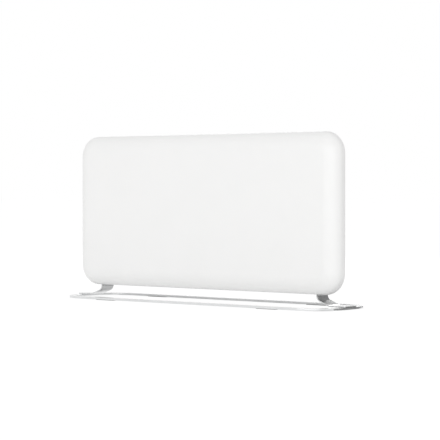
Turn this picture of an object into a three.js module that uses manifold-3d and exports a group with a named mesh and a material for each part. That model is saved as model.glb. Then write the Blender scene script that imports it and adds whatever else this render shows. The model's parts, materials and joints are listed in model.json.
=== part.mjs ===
// A free-standing electric panel heater, built from its separate pieces.
// Millimetres, +Z up. The origin is on the floor under the middle of the base.
// The heated front faces -Y, and the width runs along X.
import * as THREE from 'three';
import { mergeVertices } from 'three/addons/utils/BufferGeometryUtils.js';
import Module from 'manifold-3d';

const wasm = await Module();
wasm.setup();

// ---- Driving dimensions -------------------------------------------------------------

// Clearances
const gap = 0.3;                  // between pieces that rest on each other
const runningGap = 0.35;          // round a piece that turns in another

// Case
const panelWidth = 930;
const panelHeight = 424;
const panelCornerRadius = 58;
const floorGap = 37;              // floor to the underside of the case
const frontFaceY = -44;
const frontShellDepth = 47;
const faceRollWidth = 46;         // how far the soft front edge reaches in
const faceRollDepth = 30;
const rearRollWidth = 12;
const rearRollDepth = 9;
const frontSheet = 1;
const lipInset = 40;              // inner edge of the returned lip

// Rear cover
const coverSheet = 0.8;
const coverDepth = 34;
const coverInset = 32;            // side walls, in from the panel's outline
const coverFlange = 8;
const coverRoll = 8;
const slotWidth = 5;
const topSlotLength = 36;
const topSlotPitch = 46;
const topSlotMargin = 98;          // from the case's ends to the row of slots
const backSlotLength = 30;
const backSlotPitch = 36;
const backSlotEndMargin = 150;     // from the case's ends to the row of slots
const backSlotMargin = 18;        // from the cover's top or bottom wall

// Heating stack
const traySheet = 1;
const trayStrapGap = 10;          // from the tray's ends to the legs
const trayBaseY = -9;             // front face of the reflecting base
const trayFlange = 14;
const trayClearance = 2;          // inside the front panel's lip
const standoffLength = 12;
const standoffRadius = 7;
const standoffNeck = 3;           // radius where it passes through a sheet
const standoffHeadRadius = 5.6;
const standoffHeadThickness = 3;
const standoffInset = 24;         // from the edges of a heating board
const micaSheet = 0.8;
const ribbonThickness = 0.5;
const ribbonWidth = 6;
const ribbonPitch = 22;
const ribbonMargin = 40;
const boardGap = 16;              // between the left and the right board
const boardMargin = 22;           // from the tray's walls and ends
const insulationThickness = 9;
const insulationMargin = 10;

// Legs and base
const baseOverhang = 16;          // past the case at each end
const baseDepth = 234;
const baseCornerRadius = 95;
const baseBarWidth = 20;
const baseBarThickness = 6;
const padThickness = 1.2;
const padLength = 70;
const padWidth = 13;
const padInset = 191;             // from the base's end to the middle of a pad
const strapWidth = 48;
const strapThickness = 3;
const strapInset = 79;            // from the case's end to a leg's upright part
const strapTop = 118;
const strapBendTop = 35;          // where the upright part starts to bend
const strapBendRadius = 16.5;     // of the bend's outer side
const strapRampFall = 21;         // degrees below level
const strapFootRadius = 40;

// Leg brackets and fasteners
const bracketSheet = 2;
const bracketFlange = 21;
const bracketHeight = 42;
const bracketScrewReach = 13;     // from the leg to the line of its screws
const boltRadius = 2.5;
const boltHeadRadius = 5;
const boltHeadHeight = 3.5;
const boltSpacing = 22;
const boltTip = 2;                // out past the leg's far face
const screwRadius = 1.8;
const screwHeadRadius = 3.6;
const screwHeadHeight = 2;
const screwLength = 9;
const shortScrewLength = 6.3;
const footScrewRadius = 1.9;
const footScrewHeadRadius = 3.9;
const footScrewSpacing = 28;
const footScrewEdge = 0.5;        // straight edge of its countersunk head
const footScrewCover = 0.9;       // strap left over the end of the screw
const coverScrewInset = 165;

// Controls, on the back near the right-hand end
const controlInset = 140;         // from the case's right-hand end
const controlDrop = 127;          // from the case's top
const bezelWidth = 172;
const bezelHeight = 66;
const bezelThickness = 3;
const bezelCorner = 8;
const bezelLap = 9;               // how far the bezel covers the cover
const bezelRim = 2;
const knobInset = 40;             // from the bezel's left-hand end
const knobRadius = 19;
const knobHeight = 15;
const knobDish = 2.5;
const knobBevel = 1;
const knobEdge = 2;               // slope at the front edge
const knobRim = 6;                // from the edge to the floor of the dish
const knobGrip = 4.4;             // width of the bar across the dish
const shaftRadius = 3;
const knobCap = 3.5;              // solid plastic over the end of the shaft
const shaftInBush = 9;
const bushRadius = 5.5;
const thermostatWidth = 36;
const thermostatDepth = 20;
const thermostatHeight = 32;
const rockerInsets = [74, 44];    // from the bezel's right-hand end
const rockerWidth = 10;
const rockerLength = 14.8;
const rockerBelow = 3;            // below the pivot
const rockerCrown = 2.4;          // above the pivot, at its middle
const rockerTilt = 12;            // degrees either side of level
const rockerSink = 0.6;           // its pivot, below the switch's face
const rockerEndGap = 1;           // room for its ends to swing
const rockerWellDepth = 3;        // free space below the rocker
const switchWall = 1.6;
const switchFlange = 1.6;
const switchLap = 1.4;            // its flange, over the edge of the hole
const switchDepth = 15;
const lampInset = 17;             // from the bezel's right-hand end
const lampRadius = 4;
const lampLip = 1.2;
const lampDome = 3;
const lampBody = 8;               // behind the bezel
const rimDepth = 3;               // of the bezel's rim, behind the cover
const barbLength = 12;            // snap barbs that grip behind the cover
const barbReach = 1.2;
const barbSpacing = 90;

// Inside the rear
const glandInset = 73;            // from the case's right-hand end
const glandRise = 122;            // from the case's underside
const glandRadius = 7.5;
const glandBore = 4;
const glandFlange = 3.5;
const glandRim = 2.5;             // thickness of its flange
const glandLip = 1.5;             // wall at its outer end
const glandNose = 9;              // length on either side of the cover
const blockLength = 34;
const blockDepth = 14;
const blockHeight = 18;
const blockDrop = 24;             // below the cord inlet
const wayRadius = 2;              // of the wire holes and the screw holes
const wayDepth = 5;               // wire holes, from the block's fixed side
const cutoutInset = 255;          // from the case's right-hand end
const cutoutDrop = 192;           // from the case's top
const cutoutRadius = 9;
const cutoutHeight = 8;
const cutoutRim = 3;              // its fixing flange, beyond the body
const cutoutRimThickness = 1;
const cutoutWell = 15;            // radius of the hole in the insulation
const tabLength = 8;              // push-on terminals
const tabWidth = 6;
const tabThickness = 0.8;
const tabSpacing = 10;
const fuseRadius = 2.4;
const fuseLength = 16;
const bulbInset = 185;            // from the case's right-hand end
const bulbLength = 60;
const bulbRadius = 3.2;
const bulbRise = 15;              // above the cover's bottom wall
const bulbStandoff = 9;           // in from the cover's back
const clipLength = 12;
const clipWall = 2.4;
const capillaryRadius = 0.9;

// Tip-over switch
const tipInset = 135;             // from the case's left-hand end
const tipRise = 118;              // from the case's underside
const tipArm = 18;
const tipBobRadius = 4.5;
const tipBobLength = 14;
const tipPinRadius = 1.5;
const tipSwing = 25;              // degrees either way
const tipWall = 1.8;
const tipClear = 1;               // round the swinging weight
const tipAbove = 7;               // top of the housing above the pivot
const tipArmWidth = 5;
const tipArmThickness = 2.4;

// ---- Worked out from them -----------------------------------------------------------

const panelBottom = floorGap;
const panelTop = panelBottom + panelHeight;
const panelMiddleZ = (panelBottom + panelTop) / 2;
const shellRearY = frontFaceY + frontShellDepth;
const trayFlangeY = shellRearY + gap;
const coverFlangeY = trayFlangeY + traySheet + gap;
const coverBackY = shellRearY + gap * 2 + traySheet + coverDepth;
const coverInnerY = coverBackY - coverSheet;
const coverBottom = panelBottom + coverInset;
const coverTop = panelTop - coverInset;
const sandwichInset = coverInset - coverFlange / 2;
const panelEndX = panelWidth / 2;
const baseLength = panelWidth + 2 * baseOverhang;
const padX = baseLength / 2 - padInset;
const strapX = panelEndX - strapInset;
const trayHalfLength = strapX - trayStrapGap;
const coverScrewX = panelEndX - coverScrewInset;
const controlX = panelEndX - controlInset;
const controlZ = panelTop - controlDrop;
const glandX = panelEndX - glandInset;
const glandZ = panelBottom + glandRise;
const blockZ = glandZ - blockDrop;
const cutoutX = panelEndX - cutoutInset;
const cutoutZ = panelTop - cutoutDrop;
const bulbX = panelEndX - bulbInset;
const tipX = tipInset - panelEndX;
const tipPivotZ = panelBottom + tipRise;
const radians = THREE.MathUtils.degToRad;
const fastenerSides = 8;          // facets round a screw, bolt or standoff
const past = 1;                   // how far a cutting piece runs past a face

// ---- Materials ----------------------------------------------------------------------

const finish = (color, roughness, metalness) =>
  new THREE.MeshStandardMaterial({ color, roughness, metalness });
const whitePaint = finish(0xf2f2f1, 0.45, 0);
const polishedSteel = finish(0xd9dadb, 0.12, 1);
const zincSteel = finish(0xb4b8bc, 0.4, 1);
const brightAluminium = finish(0xe0e2e3, 0.25, 1);
const mica = finish(0xc9b58a, 0.6, 0);
const nichrome = finish(0x8f8a80, 0.45, 1);
const ceramic = finish(0xece6da, 0.5, 0);
const fibreBoard = finish(0xd8d3c6, 0.95, 0);
const whitePlastic = finish(0xe9e9e7, 0.5, 0);
const greyPlastic = finish(0x8e9194, 0.5, 0);
const darkPlastic = finish(0x2b2c2e, 0.45, 0);
const lampRed = finish(0xb3321f, 0.15, 0);
const rubber = finish(0x333435, 0.85, 0);
const brass = finish(0xb99a52, 0.35, 1);
const copper = finish(0xb87349, 0.35, 1);

// ---- Shape helpers ------------------------------------------------------------------

function solidOf(geometry) {
  const bare = geometry.clone();
  bare.deleteAttribute('normal');
  bare.deleteAttribute('uv');
  const merged = mergeVertices(bare, 1e-4);
  return new wasm.Manifold(new wasm.Mesh({
    numProp: 3,
    vertProperties: new Float32Array(merged.attributes.position.array),
    triVerts: new Uint32Array(merged.index.array),
  }));
}

function geometryOf(solid) {
  const mesh = solid.getMesh();
  const geometry = new THREE.BufferGeometry();
  geometry.setAttribute('position', new THREE.BufferAttribute(mesh.vertProperties, 3));
  geometry.setIndex(new THREE.BufferAttribute(mesh.triVerts, 1));
  geometry.computeVertexNormals();
  return geometry;
}

function cut(geometry, ...tools) {
  let solid = solidOf(geometry);
  for (const tool of tools) solid = solid.subtract(solidOf(tool));
  return geometryOf(solid);
}

function join(...pieces) {
  let solid = solidOf(pieces[0]);
  for (const piece of pieces.slice(1)) solid = solid.add(solidOf(piece));
  return geometryOf(solid);
}

// A box between two corners.
function box(x0, x1, y0, y1, z0, z1) {
  const geometry = new THREE.BoxGeometry(x1 - x0, y1 - y0, z1 - z0);
  return geometry.translate((x0 + x1) / 2, (y0 + y1) / 2, (z0 + z1) / 2);
}

// Cylinders along each axis, from one end to the other.
function cylinderY(radius, y0, y1, x, z, sides = 20) {
  const geometry = new THREE.CylinderGeometry(radius, radius, y1 - y0, sides);
  return geometry.translate(x, (y0 + y1) / 2, z);
}

function cylinderX(radius, x0, x1, y, z, sides = 20) {
  const geometry = new THREE.CylinderGeometry(radius, radius, x1 - x0, sides);
  return geometry.rotateZ(Math.PI / 2).translate((x0 + x1) / 2, y, z);
}

function cylinderZ(radius, z0, z1, x, y, sides = 20) {
  const geometry = new THREE.CylinderGeometry(radius, radius, z1 - z0, sides);
  return geometry.rotateX(Math.PI / 2).translate(x, y, (z0 + z1) / 2);
}

// A turned piece whose axis runs along +Y, from [radius, y] points.
function turnedY(profile, sides = 24) {
  const points = profile.map(([radius, y]) => new THREE.Vector2(radius, y));
  return new THREE.LatheGeometry(points, sides);
}

// An outline in the XZ plane, given thickness along Y from y0 to y1.
function slabXZ(shape, y0, y1, curveSegments = 6) {
  const options = { depth: y1 - y0, bevelEnabled: false, curveSegments };
  return new THREE.ExtrudeGeometry(shape, options).rotateX(Math.PI / 2).translate(0, y1, 0);
}

function roundedOutline(x0, x1, z0, z1, radius) {
  const shape = new THREE.Shape();
  shape.moveTo(x0 + radius, z0);
  shape.lineTo(x1 - radius, z0);
  shape.absarc(x1 - radius, z0 + radius, radius, -Math.PI / 2, 0);
  shape.lineTo(x1, z1 - radius);
  shape.absarc(x1 - radius, z1 - radius, radius, 0, Math.PI / 2);
  shape.lineTo(x0 + radius, z1);
  shape.absarc(x0 + radius, z1 - radius, radius, Math.PI / 2, Math.PI);
  shape.lineTo(x0, z0 + radius);
  shape.absarc(x0 + radius, z0 + radius, radius, Math.PI, Math.PI * 1.5);
  return shape;
}

// One ring of points: the panel's outline moved in by inset, at depth y.
const cornerSteps = 7;

function panelRing(inset, y) {
  const halfWidth = panelWidth / 2 - inset;
  const halfHeight = panelHeight / 2 - inset;
  const radius = Math.max(panelCornerRadius - inset, 4);
  const ring = [];
  const corners = [[1, 1, 0], [-1, 1, 90], [-1, -1, 180], [1, -1, 270]];
  for (const [sx, sz, start] of corners) {
    for (let step = 0; step <= cornerSteps; step += 1) {
      const angle = radians(start + (90 * step) / cornerSteps);
      const x = sx * (halfWidth - radius) + radius * Math.cos(angle);
      const z = sz * (halfHeight - radius) + radius * Math.sin(angle);
      ring.push([x, y, panelMiddleZ + z]);
    }
  }
  return ring;
}

// A closed body through a list of rings, with a flat cap on the first and last.
function loft(rings) {
  const count = rings[0].length;
  const positions = rings.flat(2);
  const indices = [];
  for (let r = 0; r + 1 < rings.length; r += 1) {
    for (let i = 0; i < count; i += 1) {
      const next = (i + 1) % count;
      const a = r * count + i;
      const b = r * count + next;
      indices.push(a, a + count, b, b, a + count, b + count);
    }
  }
  const outline = (ring) => ring.map(([x, , z]) => new THREE.Vector2(x, z));
  const last = (rings.length - 1) * count;
  for (const [a, b, c] of THREE.ShapeUtils.triangulateShape(outline(rings[0]), [])) {
    indices.push(a, b, c);
  }
  for (const [a, b, c] of THREE.ShapeUtils.triangulateShape(outline(rings.at(-1)), [])) {
    indices.push(last + a, last + c, last + b);
  }
  const geometry = new THREE.BufferGeometry();
  geometry.setAttribute('position', new THREE.Float32BufferAttribute(positions, 3));
  geometry.setIndex(indices);
  return geometry;
}

// Rings of a quarter ellipse, from inset0 at y0 to inset1 at y1. With outerFirst
// the curve leaves the first point square to Y, otherwise along Y.
function rollRings(inset0, y0, inset1, y1, steps, outerFirst) {
  const rings = [];
  for (let step = 0; step <= steps; step += 1) {
    const angle = (Math.PI / 2) * (step / steps);
    const fast = Math.sin(angle);
    const slow = 1 - Math.cos(angle);
    const across = outerFirst ? fast : slow;
    const along = outerFirst ? slow : fast;
    rings.push(panelRing(inset0 + (inset1 - inset0) * across, y0 + (y1 - y0) * along));
  }
  return rings;
}

// A tube along a smooth curve through the given points.
function tube(points, radius, steps, sides = 6) {
  const path = new THREE.CatmullRomCurve3(points.map((p) => new THREE.Vector3(...p)));
  const section = new THREE.Shape();
  for (let i = 0; i < sides; i += 1) {
    const angle = (Math.PI * 2 * i) / sides;
    const x = radius * Math.cos(angle);
    const y = radius * Math.sin(angle);
    if (i === 0) section.moveTo(x, y);
    else section.lineTo(x, y);
  }
  return new THREE.ExtrudeGeometry(section, { steps, extrudePath: path, bevelEnabled: false });
}

const heater = new THREE.Group();

function add(name, geometry, material, group = heater) {
  const mesh = new THREE.Mesh(geometry, material);
  mesh.name = name;
  group.add(mesh);
  return mesh;
}

// ---- Front panel --------------------------------------------------------------------
// One pressed steel shell: a flat face, a soft rolled edge, a short side wall
// and a lip turned in at the back. The legs come up through two slots.

function frontPanelShell() {
  const faceY = frontFaceY;
  const rollY = faceY + faceRollDepth;
  const t = frontSheet;
  const outer = [
    ...rollRings(faceRollWidth, faceY, 0, rollY, 7, true),
    ...rollRings(0, shellRearY - rearRollDepth, rearRollWidth, shellRearY, 4, false),
    panelRing(lipInset, shellRearY),
  ];
  const inner = [
    panelRing(lipInset, shellRearY - t),
    ...rollRings(rearRollWidth, shellRearY - t, t, shellRearY - rearRollDepth, 2, true),
    ...rollRings(t, rollY, faceRollWidth, faceY + t, 4, false),
  ];
  return loft([...outer, ...inner]);
}

const slotClear = gap * 2;

// The slot that a leg's upright part comes through, from the floor side.
function legSlot(side) {
  const inner = side * (strapX - slotClear);
  const outer = side * (strapX + strapThickness + slotClear);
  const halfWidth = strapWidth / 2 + slotClear;
  return box(Math.min(inner, outer), Math.max(inner, outer),
    -halfWidth, halfWidth, 0, strapTop + slotClear);
}

const sideNames = { left: -1, right: 1 };
const sides = Object.values(sideNames);

const coverScrewPlaces = [];
for (const x of [-coverScrewX, coverScrewX]) {
  coverScrewPlaces.push([x, panelTop - sandwichInset]);
  coverScrewPlaces.push([x, panelBottom + sandwichInset]);
}

const screwHole = (x, z, y0, y1) =>
  cylinderY(screwRadius + gap, y0, y1, x, z, fastenerSides);

add('front_panel', cut(frontPanelShell(),
  ...sides.map(legSlot),
  ...coverScrewPlaces.map(([x, z]) =>
    screwHole(x, z, shellRearY - frontSheet - past, shellRearY + past))), whitePaint);

// ---- Rear cover ---------------------------------------------------------------------

function rearCoverShell() {
  const wall = coverInset;
  const t = coverSheet;
  return loft([
    ...rollRings(wall + coverRoll, coverBackY, wall, coverBackY - coverRoll, 4, true),
    panelRing(wall, coverFlangeY + t),
    panelRing(wall - coverFlange, coverFlangeY + t),
    panelRing(wall - coverFlange, coverFlangeY),
    panelRing(wall + t, coverFlangeY),
    ...rollRings(wall + t, coverBackY - coverRoll, wall + coverRoll, coverInnerY, 2, false),
  ].reverse());
}

// The same slot again and again, centred on x = 0, with a margin at the case's ends.
function slotRow(margin, width, pitch, make) {
  const count = Math.floor((panelWidth - 2 * margin - width) / pitch) + 1;
  const row = [];
  for (let i = 0; i < count; i += 1) row.push(make((i - (count - 1) / 2) * pitch));
  return row;
}

const topSlotY = (coverFlangeY + coverSheet + coverBackY - coverRoll) / 2;

function topSlots(wallZ) {
  const half = topSlotLength / 2;
  const reach = coverSheet + past;
  const slot = (x) => box(x - half, x + half,
    topSlotY - slotWidth / 2, topSlotY + slotWidth / 2, wallZ - reach, wallZ + reach);
  return slotRow(topSlotMargin, topSlotLength, topSlotPitch, slot);
}

function backSlots(middleZ) {
  const half = backSlotLength / 2;
  const slot = (x) => box(x - slotWidth / 2, x + slotWidth / 2,
    coverInnerY - past, coverBackY + past, middleZ - half, middleZ + half);
  return slotRow(backSlotEndMargin, slotWidth, backSlotPitch, slot);
}

const backSlotHighZ = coverTop - coverRoll - backSlotMargin - backSlotLength / 2;
const backSlotLowZ = coverBottom + coverRoll + backSlotMargin + backSlotLength / 2;
const bracketBottom = coverBottom + coverSheet + coverRoll;
const bracketScrewX = strapX + strapThickness + bracketScrewReach;
const boltLowZ = bracketBottom + (bracketHeight - boltSpacing) / 2;
const legFastenerHeights = [boltLowZ, boltLowZ + boltSpacing];
const bracketScrewPlaces = [];
for (const side of sides) {
  for (const z of legFastenerHeights) bracketScrewPlaces.push([side * bracketScrewX, z]);
}

const bezelLeft = controlX - bezelWidth / 2;
const bezelRight = controlX + bezelWidth / 2;
const bezelLow = controlZ - bezelHeight / 2;
const bezelHigh = controlZ + bezelHeight / 2;

function rearCover() {
  const window = box(bezelLeft + bezelLap, bezelRight - bezelLap,
    coverInnerY - past, coverBackY + past, bezelLow + bezelLap, bezelHigh - bezelLap);
  return cut(rearCoverShell(),
    ...topSlots(coverTop), ...topSlots(coverBottom),
    ...backSlots(backSlotHighZ), ...backSlots(backSlotLowZ),
    window,
    cylinderY(glandRadius + gap, coverInnerY - past, coverBackY + past, glandX, glandZ, 16),
    ...sides.map(legSlot),
    ...coverScrewPlaces.map(([x, z]) =>
      screwHole(x, z, coverFlangeY - past, coverFlangeY + coverSheet + past)),
    ...bracketScrewPlaces.map(([x, z]) => screwHole(x, z, coverInnerY - past, coverBackY + past)));
}

add('rear_cover', rearCover(), whitePaint);

// A pan-head screw driven from the back, its head resting on the plane at seatY.
function backScrew(x, z, seatY, length) {
  const profile = [
    [0, seatY - length], [screwRadius, seatY - length], [screwRadius, seatY + gap],
    [screwHeadRadius, seatY + gap], [screwHeadRadius, seatY + screwHeadHeight / 2],
    [screwHeadRadius - screwHeadHeight / 2, seatY + screwHeadHeight],
    [0, seatY + screwHeadHeight],
  ];
  return turnedY(profile, fastenerSides).translate(x, 0, z);
}

coverScrewPlaces.forEach(([x, z], i) => {
  const seat = coverFlangeY + coverSheet;
  add(`cover_screw_${i + 1}`, backScrew(x, z, seat, screwLength), zincSteel);
});

// ---- Reflector tray and insulation --------------------------------------------------
// A folded hat section along X. Its flanges lie between the front panel's lip
// and the rear cover's flange, and the cover screws hold all three together.

const trayWallInset = lipInset + trayClearance;
const trayHigh = panelTop - trayWallInset;
const trayLow = panelBottom + trayWallInset;

function trayProfile() {
  const t = traySheet;
  const back = trayFlangeY;
  const outerHigh = trayHigh + trayFlange + t;
  const outerLow = trayLow - trayFlange - t;
  const points = [
    [back, outerHigh], [back, trayHigh], [trayBaseY, trayHigh],
    [trayBaseY, trayLow], [back, trayLow], [back, outerLow],
    [back + t, outerLow], [back + t, trayLow + t], [trayBaseY + t, trayLow + t],
    [trayBaseY + t, trayHigh - t], [back + t, trayHigh - t], [back + t, outerHigh],
  ];
  const shape = new THREE.Shape();
  points.forEach(([y, z], i) => (i === 0 ? shape.moveTo(y, z) : shape.lineTo(y, z)));
  return shape;
}

function extrudeAlongX(shapeYZ, x0, x1) {
  const options = { depth: x1 - x0, bevelEnabled: false };
  const geometry = new THREE.ExtrudeGeometry(shapeYZ, options);
  const turn = new THREE.Matrix4().set(0, 0, 1, x0, 1, 0, 0, 0, 0, 1, 0, 0, 0, 0, 0, 1);
  return geometry.applyMatrix4(turn);
}

// Two heating boards side by side, in front of the tray.
const boardLength = trayHalfLength - boardMargin - boardGap / 2;
const boardHigh = trayHigh - boardMargin;
const boardLow = trayLow + boardMargin;
const rearMicaY = trayBaseY - gap - standoffLength - gap - micaSheet;
const ribbonY = rearMicaY - gap - ribbonThickness;
const frontMicaY = ribbonY - gap - micaSheet;

function boardSpan(side) {
  const near = (side * boardGap) / 2;
  const far = side * (boardGap / 2 + boardLength);
  return [Math.min(near, far), Math.max(near, far)];
}

function standoffPlaces(side) {
  const [x0, x1] = boardSpan(side);
  const high = boardHigh - standoffInset;
  const low = boardLow + standoffInset;
  return [[x0 + standoffInset, high], [x1 - standoffInset, high], [(x0 + x1) / 2, low]];
}

const allStandoffs = sides.flatMap(standoffPlaces);
const boardHole = ([x, z]) =>
  cylinderY(standoffNeck + gap, frontMicaY - past, trayBaseY + traySheet + past, x, z,
    fastenerSides);

add('reflector_tray', cut(extrudeAlongX(trayProfile(), -trayHalfLength, trayHalfLength),
  ...allStandoffs.map(boardHole),
  ...coverScrewPlaces.map(([x, z]) =>
    screwHole(x, z, trayFlangeY - past, trayFlangeY + traySheet + past))), brightAluminium);

const insulationY = trayBaseY + traySheet + gap;
const insulationBackY = insulationY + insulationThickness;

add('insulation_board', cut(
  box(-trayHalfLength + insulationMargin, trayHalfLength - insulationMargin,
    insulationY, insulationBackY, trayLow + insulationMargin, trayHigh - insulationMargin),
  cylinderY(cutoutWell, insulationY - past, insulationBackY + past, cutoutX, cutoutZ, 16),
  ...allStandoffs.map(([x, z]) => cylinderY(standoffRadius + gap,
    insulationY - past, insulationBackY + past, x, z, fastenerSides)),
), fibreBoard);

// ---- Heating boards -----------------------------------------------------------------

function micaBoard(side, y0) {
  const [x0, x1] = boardSpan(side);
  return cut(box(x0, x1, y0, y0 + micaSheet, boardLow, boardHigh),
    ...standoffPlaces(side).map(boardHole));
}

// A flat ribbon that runs to and fro across its board in one unbroken strip.
function ribbonStrip(side) {
  const [x0, x1] = boardSpan(side);
  const left = x0 + ribbonMargin;
  const right = x1 - ribbonMargin;
  const low = boardLow + ribbonMargin;
  const high = boardHigh - ribbonMargin;
  const runs = Math.floor((high - low) / ribbonPitch) + 1;
  const half = ribbonWidth / 2;
  const slabs = [];
  for (let run = 0; run < runs; run += 1) {
    const z = low + run * ribbonPitch;
    slabs.push(box(left, right, ribbonY, ribbonY + ribbonThickness, z - half, z + half));
    if (run + 1 < runs) {
      const end = run % 2 === 0 ? right : left;
      slabs.push(box(end - ribbonWidth, end, ribbonY, ribbonY + ribbonThickness,
        z - half, z + ribbonPitch + half).translate(end === left ? ribbonWidth : 0, 0, 0));
    }
  }
  return join(...slabs);
}

// A ceramic standoff: its neck passes through the boards and its stub through
// the tray, and the push-on shoulders keep the boards off the metal.
function standoff(x, z) {
  const back = trayBaseY - gap;
  const front = back - standoffLength;
  const neckFront = frontMicaY - gap;
  const headFront = neckFront - standoffHeadThickness;
  const stubBack = trayBaseY + traySheet + gap;
  const profile = [
    [0, headFront], [standoffHeadRadius, headFront], [standoffHeadRadius, neckFront],
    [standoffNeck, neckFront], [standoffNeck, front], [standoffRadius, front],
    [standoffRadius, back], [standoffNeck, back], [standoffNeck, stubBack],
    [standoffHeadRadius, stubBack], [standoffHeadRadius, stubBack + standoffHeadThickness],
    [0, stubBack + standoffHeadThickness],
  ];
  return turnedY(profile, fastenerSides).translate(x, 0, z);
}

for (const [name, side] of Object.entries(sideNames)) {
  add(`front_mica_${name}`, micaBoard(side, frontMicaY), mica);
  add(`heating_ribbon_${name}`, ribbonStrip(side), nichrome);
  add(`rear_mica_${name}`, micaBoard(side, rearMicaY), mica);
  standoffPlaces(side).forEach(([x, z], i) => {
    add(`ceramic_standoff_${name}_${i + 1}`, standoff(x, z), ceramic);
  });
}

// ---- Legs ---------------------------------------------------------------------------

const barTop = padThickness + baseBarThickness;
const strapFootZ = barTop + gap;
const strapEndX = baseLength / 2;
const bendStep = 11;              // degrees to a facet

// The two faces of a bent strap, from runs [length] and bends [radius, degrees].
// The radius belongs to the right-hand face, which is the outside of each bend.
function bentStrip(start, heading, thickness, moves) {
  let [x, z] = start;
  let angle = heading;
  const outside = [[x, z]];
  const inside = [[x - thickness * Math.sin(angle), z + thickness * Math.cos(angle)]];
  const put = () => {
    outside.push([x, z]);
    inside.push([x - thickness * Math.sin(angle), z + thickness * Math.cos(angle)]);
  };
  for (const move of moves) {
    if (move.length === 1) {
      x += move[0] * Math.cos(angle);
      z += move[0] * Math.sin(angle);
      put();
    } else {
      const [radius, turn] = move;
      const centreX = x - radius * Math.sin(angle);
      const centreZ = z + radius * Math.cos(angle);
      const steps = Math.max(3, Math.round(turn / bendStep));
      const from = angle;
      for (let step = 1; step <= steps; step += 1) {
        angle = from + (radians(turn) * step) / steps;
        x = centreX + radius * Math.sin(angle);
        z = centreZ - radius * Math.cos(angle);
        put();
      }
    }
  }
  return [...outside, ...inside.reverse()];
}

// Side view of the right leg: down, out through the first bend, down the ramp,
// and level along the base bar to its outer edge.
function legProfile() {
  const fall = radians(strapRampFall);
  const firstTurn = 90 - strapRampFall;
  const rampStartZ = strapBendTop - strapBendRadius * Math.sin(radians(firstTurn));
  const rampStartX = strapX + strapBendRadius * (1 - Math.cos(radians(firstTurn)));
  const footDrop = strapFootRadius * (1 - Math.cos(fall));
  const rampLength = (rampStartZ - strapFootZ - footDrop) / Math.sin(fall);
  const footStartX = rampStartX + rampLength * Math.cos(fall) + strapFootRadius * Math.sin(fall);
  return bentStrip([strapX, strapTop], -Math.PI / 2, strapThickness, [
    [strapTop - strapBendTop],
    [strapBendRadius, firstTurn],
    [rampLength],
    [strapFootRadius, strapRampFall],
    [strapEndX - footStartX],
  ]);
}

function shapeFrom(points, flip) {
  const shape = new THREE.Shape();
  points.forEach(([x, z], i) => (i === 0 ? shape.moveTo(flip * x, z) : shape.lineTo(flip * x, z)));
  return shape;
}

const footScrewX = baseLength / 2 - baseBarWidth / 2;
const footScrewHeights = [-footScrewSpacing / 2, footScrewSpacing / 2];
const footScrewTip = strapFootZ + strapThickness - footScrewCover;

function leg(side) {
  const half = strapWidth / 2;
  const strap = slabXZ(shapeFrom(legProfile(), side), -half, half);
  const bolts = legFastenerHeights.map((z) => {
    const reach = strapThickness + past;
    return cylinderX(boltRadius + gap, side * strapX - reach, side * strapX + reach, 0, z,
      fastenerSides);
  });
  const foot = footScrewHeights.map((y) =>
    cylinderZ(footScrewRadius + gap, strapFootZ - past, footScrewTip + gap, side * footScrewX, y,
      fastenerSides));
  return cut(strap, ...bolts, ...foot);
}

// ---- Leg brackets -------------------------------------------------------------------
// Folded angle pieces inside the case: one side is bolted to the leg's upright
// part, the other is screwed to the back of the rear cover.

function legBracket(side) {
  const plateX = strapX + strapThickness + gap;
  const back = coverInnerY - gap;
  const front = -strapWidth / 2;
  const points = [
    [plateX, front], [plateX + bracketSheet, front], [plateX + bracketSheet, back - bracketSheet],
    [plateX + bracketFlange, back - bracketSheet], [plateX + bracketFlange, back], [plateX, back],
  ];
  const options = { depth: bracketHeight, bevelEnabled: false };
  const angle = new THREE.ExtrudeGeometry(shapeFrom(points, side), options)
    .translate(0, 0, bracketBottom);
  const boltHoles = legFastenerHeights.map((z) => {
    const middle = side * (plateX + bracketSheet / 2);
    const reach = bracketSheet + past;
    return cylinderX(boltRadius + gap, middle - reach, middle + reach, 0, z, fastenerSides);
  });
  const screwHoles = legFastenerHeights.map((z) =>
    screwHole(side * bracketScrewX, z, back - bracketSheet - past, back + past));
  return cut(angle, ...boltHoles, ...screwHoles);
}

// A hexagon-head bolt through the bracket into the tapped leg.
function legBolt(side, z) {
  const seat = strapX + strapThickness + gap + bracketSheet + gap;
  const tip = strapX - boltTip;
  const shank = cylinderX(boltRadius, tip, seat + past, 0, z, fastenerSides);
  const head = cylinderX(boltHeadRadius, seat, seat + boltHeadHeight, 0, z, 6);
  const bolt = join(shank, head);
  return side > 0 ? bolt : bolt.rotateZ(Math.PI);
}

// A countersunk screw from below, through the base bar into the leg's foot.
const countersink = footScrewHeadRadius - footScrewRadius;

function footScrew(x, y) {
  const low = padThickness + gap;
  const profile = [
    [0, 0], [footScrewHeadRadius, 0], [footScrewHeadRadius, footScrewEdge],
    [footScrewRadius, footScrewEdge + countersink], [footScrewRadius, footScrewTip - low],
    [0, footScrewTip - low],
  ];
  return turnedY(profile, fastenerSides).rotateX(Math.PI / 2).translate(x, y, low);
}

for (const [name, side] of Object.entries(sideNames)) {
  add(`leg_${name}`, leg(side), polishedSteel);
  add(`leg_bracket_${name}`, legBracket(side), zincSteel);
  legFastenerHeights.forEach((z, i) => {
    add(`leg_bolt_${name}_${i + 1}`, legBolt(side, z), zincSteel);
    add(`bracket_screw_${name}_${i + 1}`,
      backScrew(side * bracketScrewX, z, coverBackY, shortScrewLength), zincSteel);
  });
  footScrewHeights.forEach((y, i) => {
    add(`foot_screw_${name}_${i + 1}`, footScrew(side * footScrewX, y), zincSteel);
  });
}

// ---- Base frame and pads ------------------------------------------------------------
// One flat bar bent into a long loop with round corners, on four thin pads.

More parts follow.
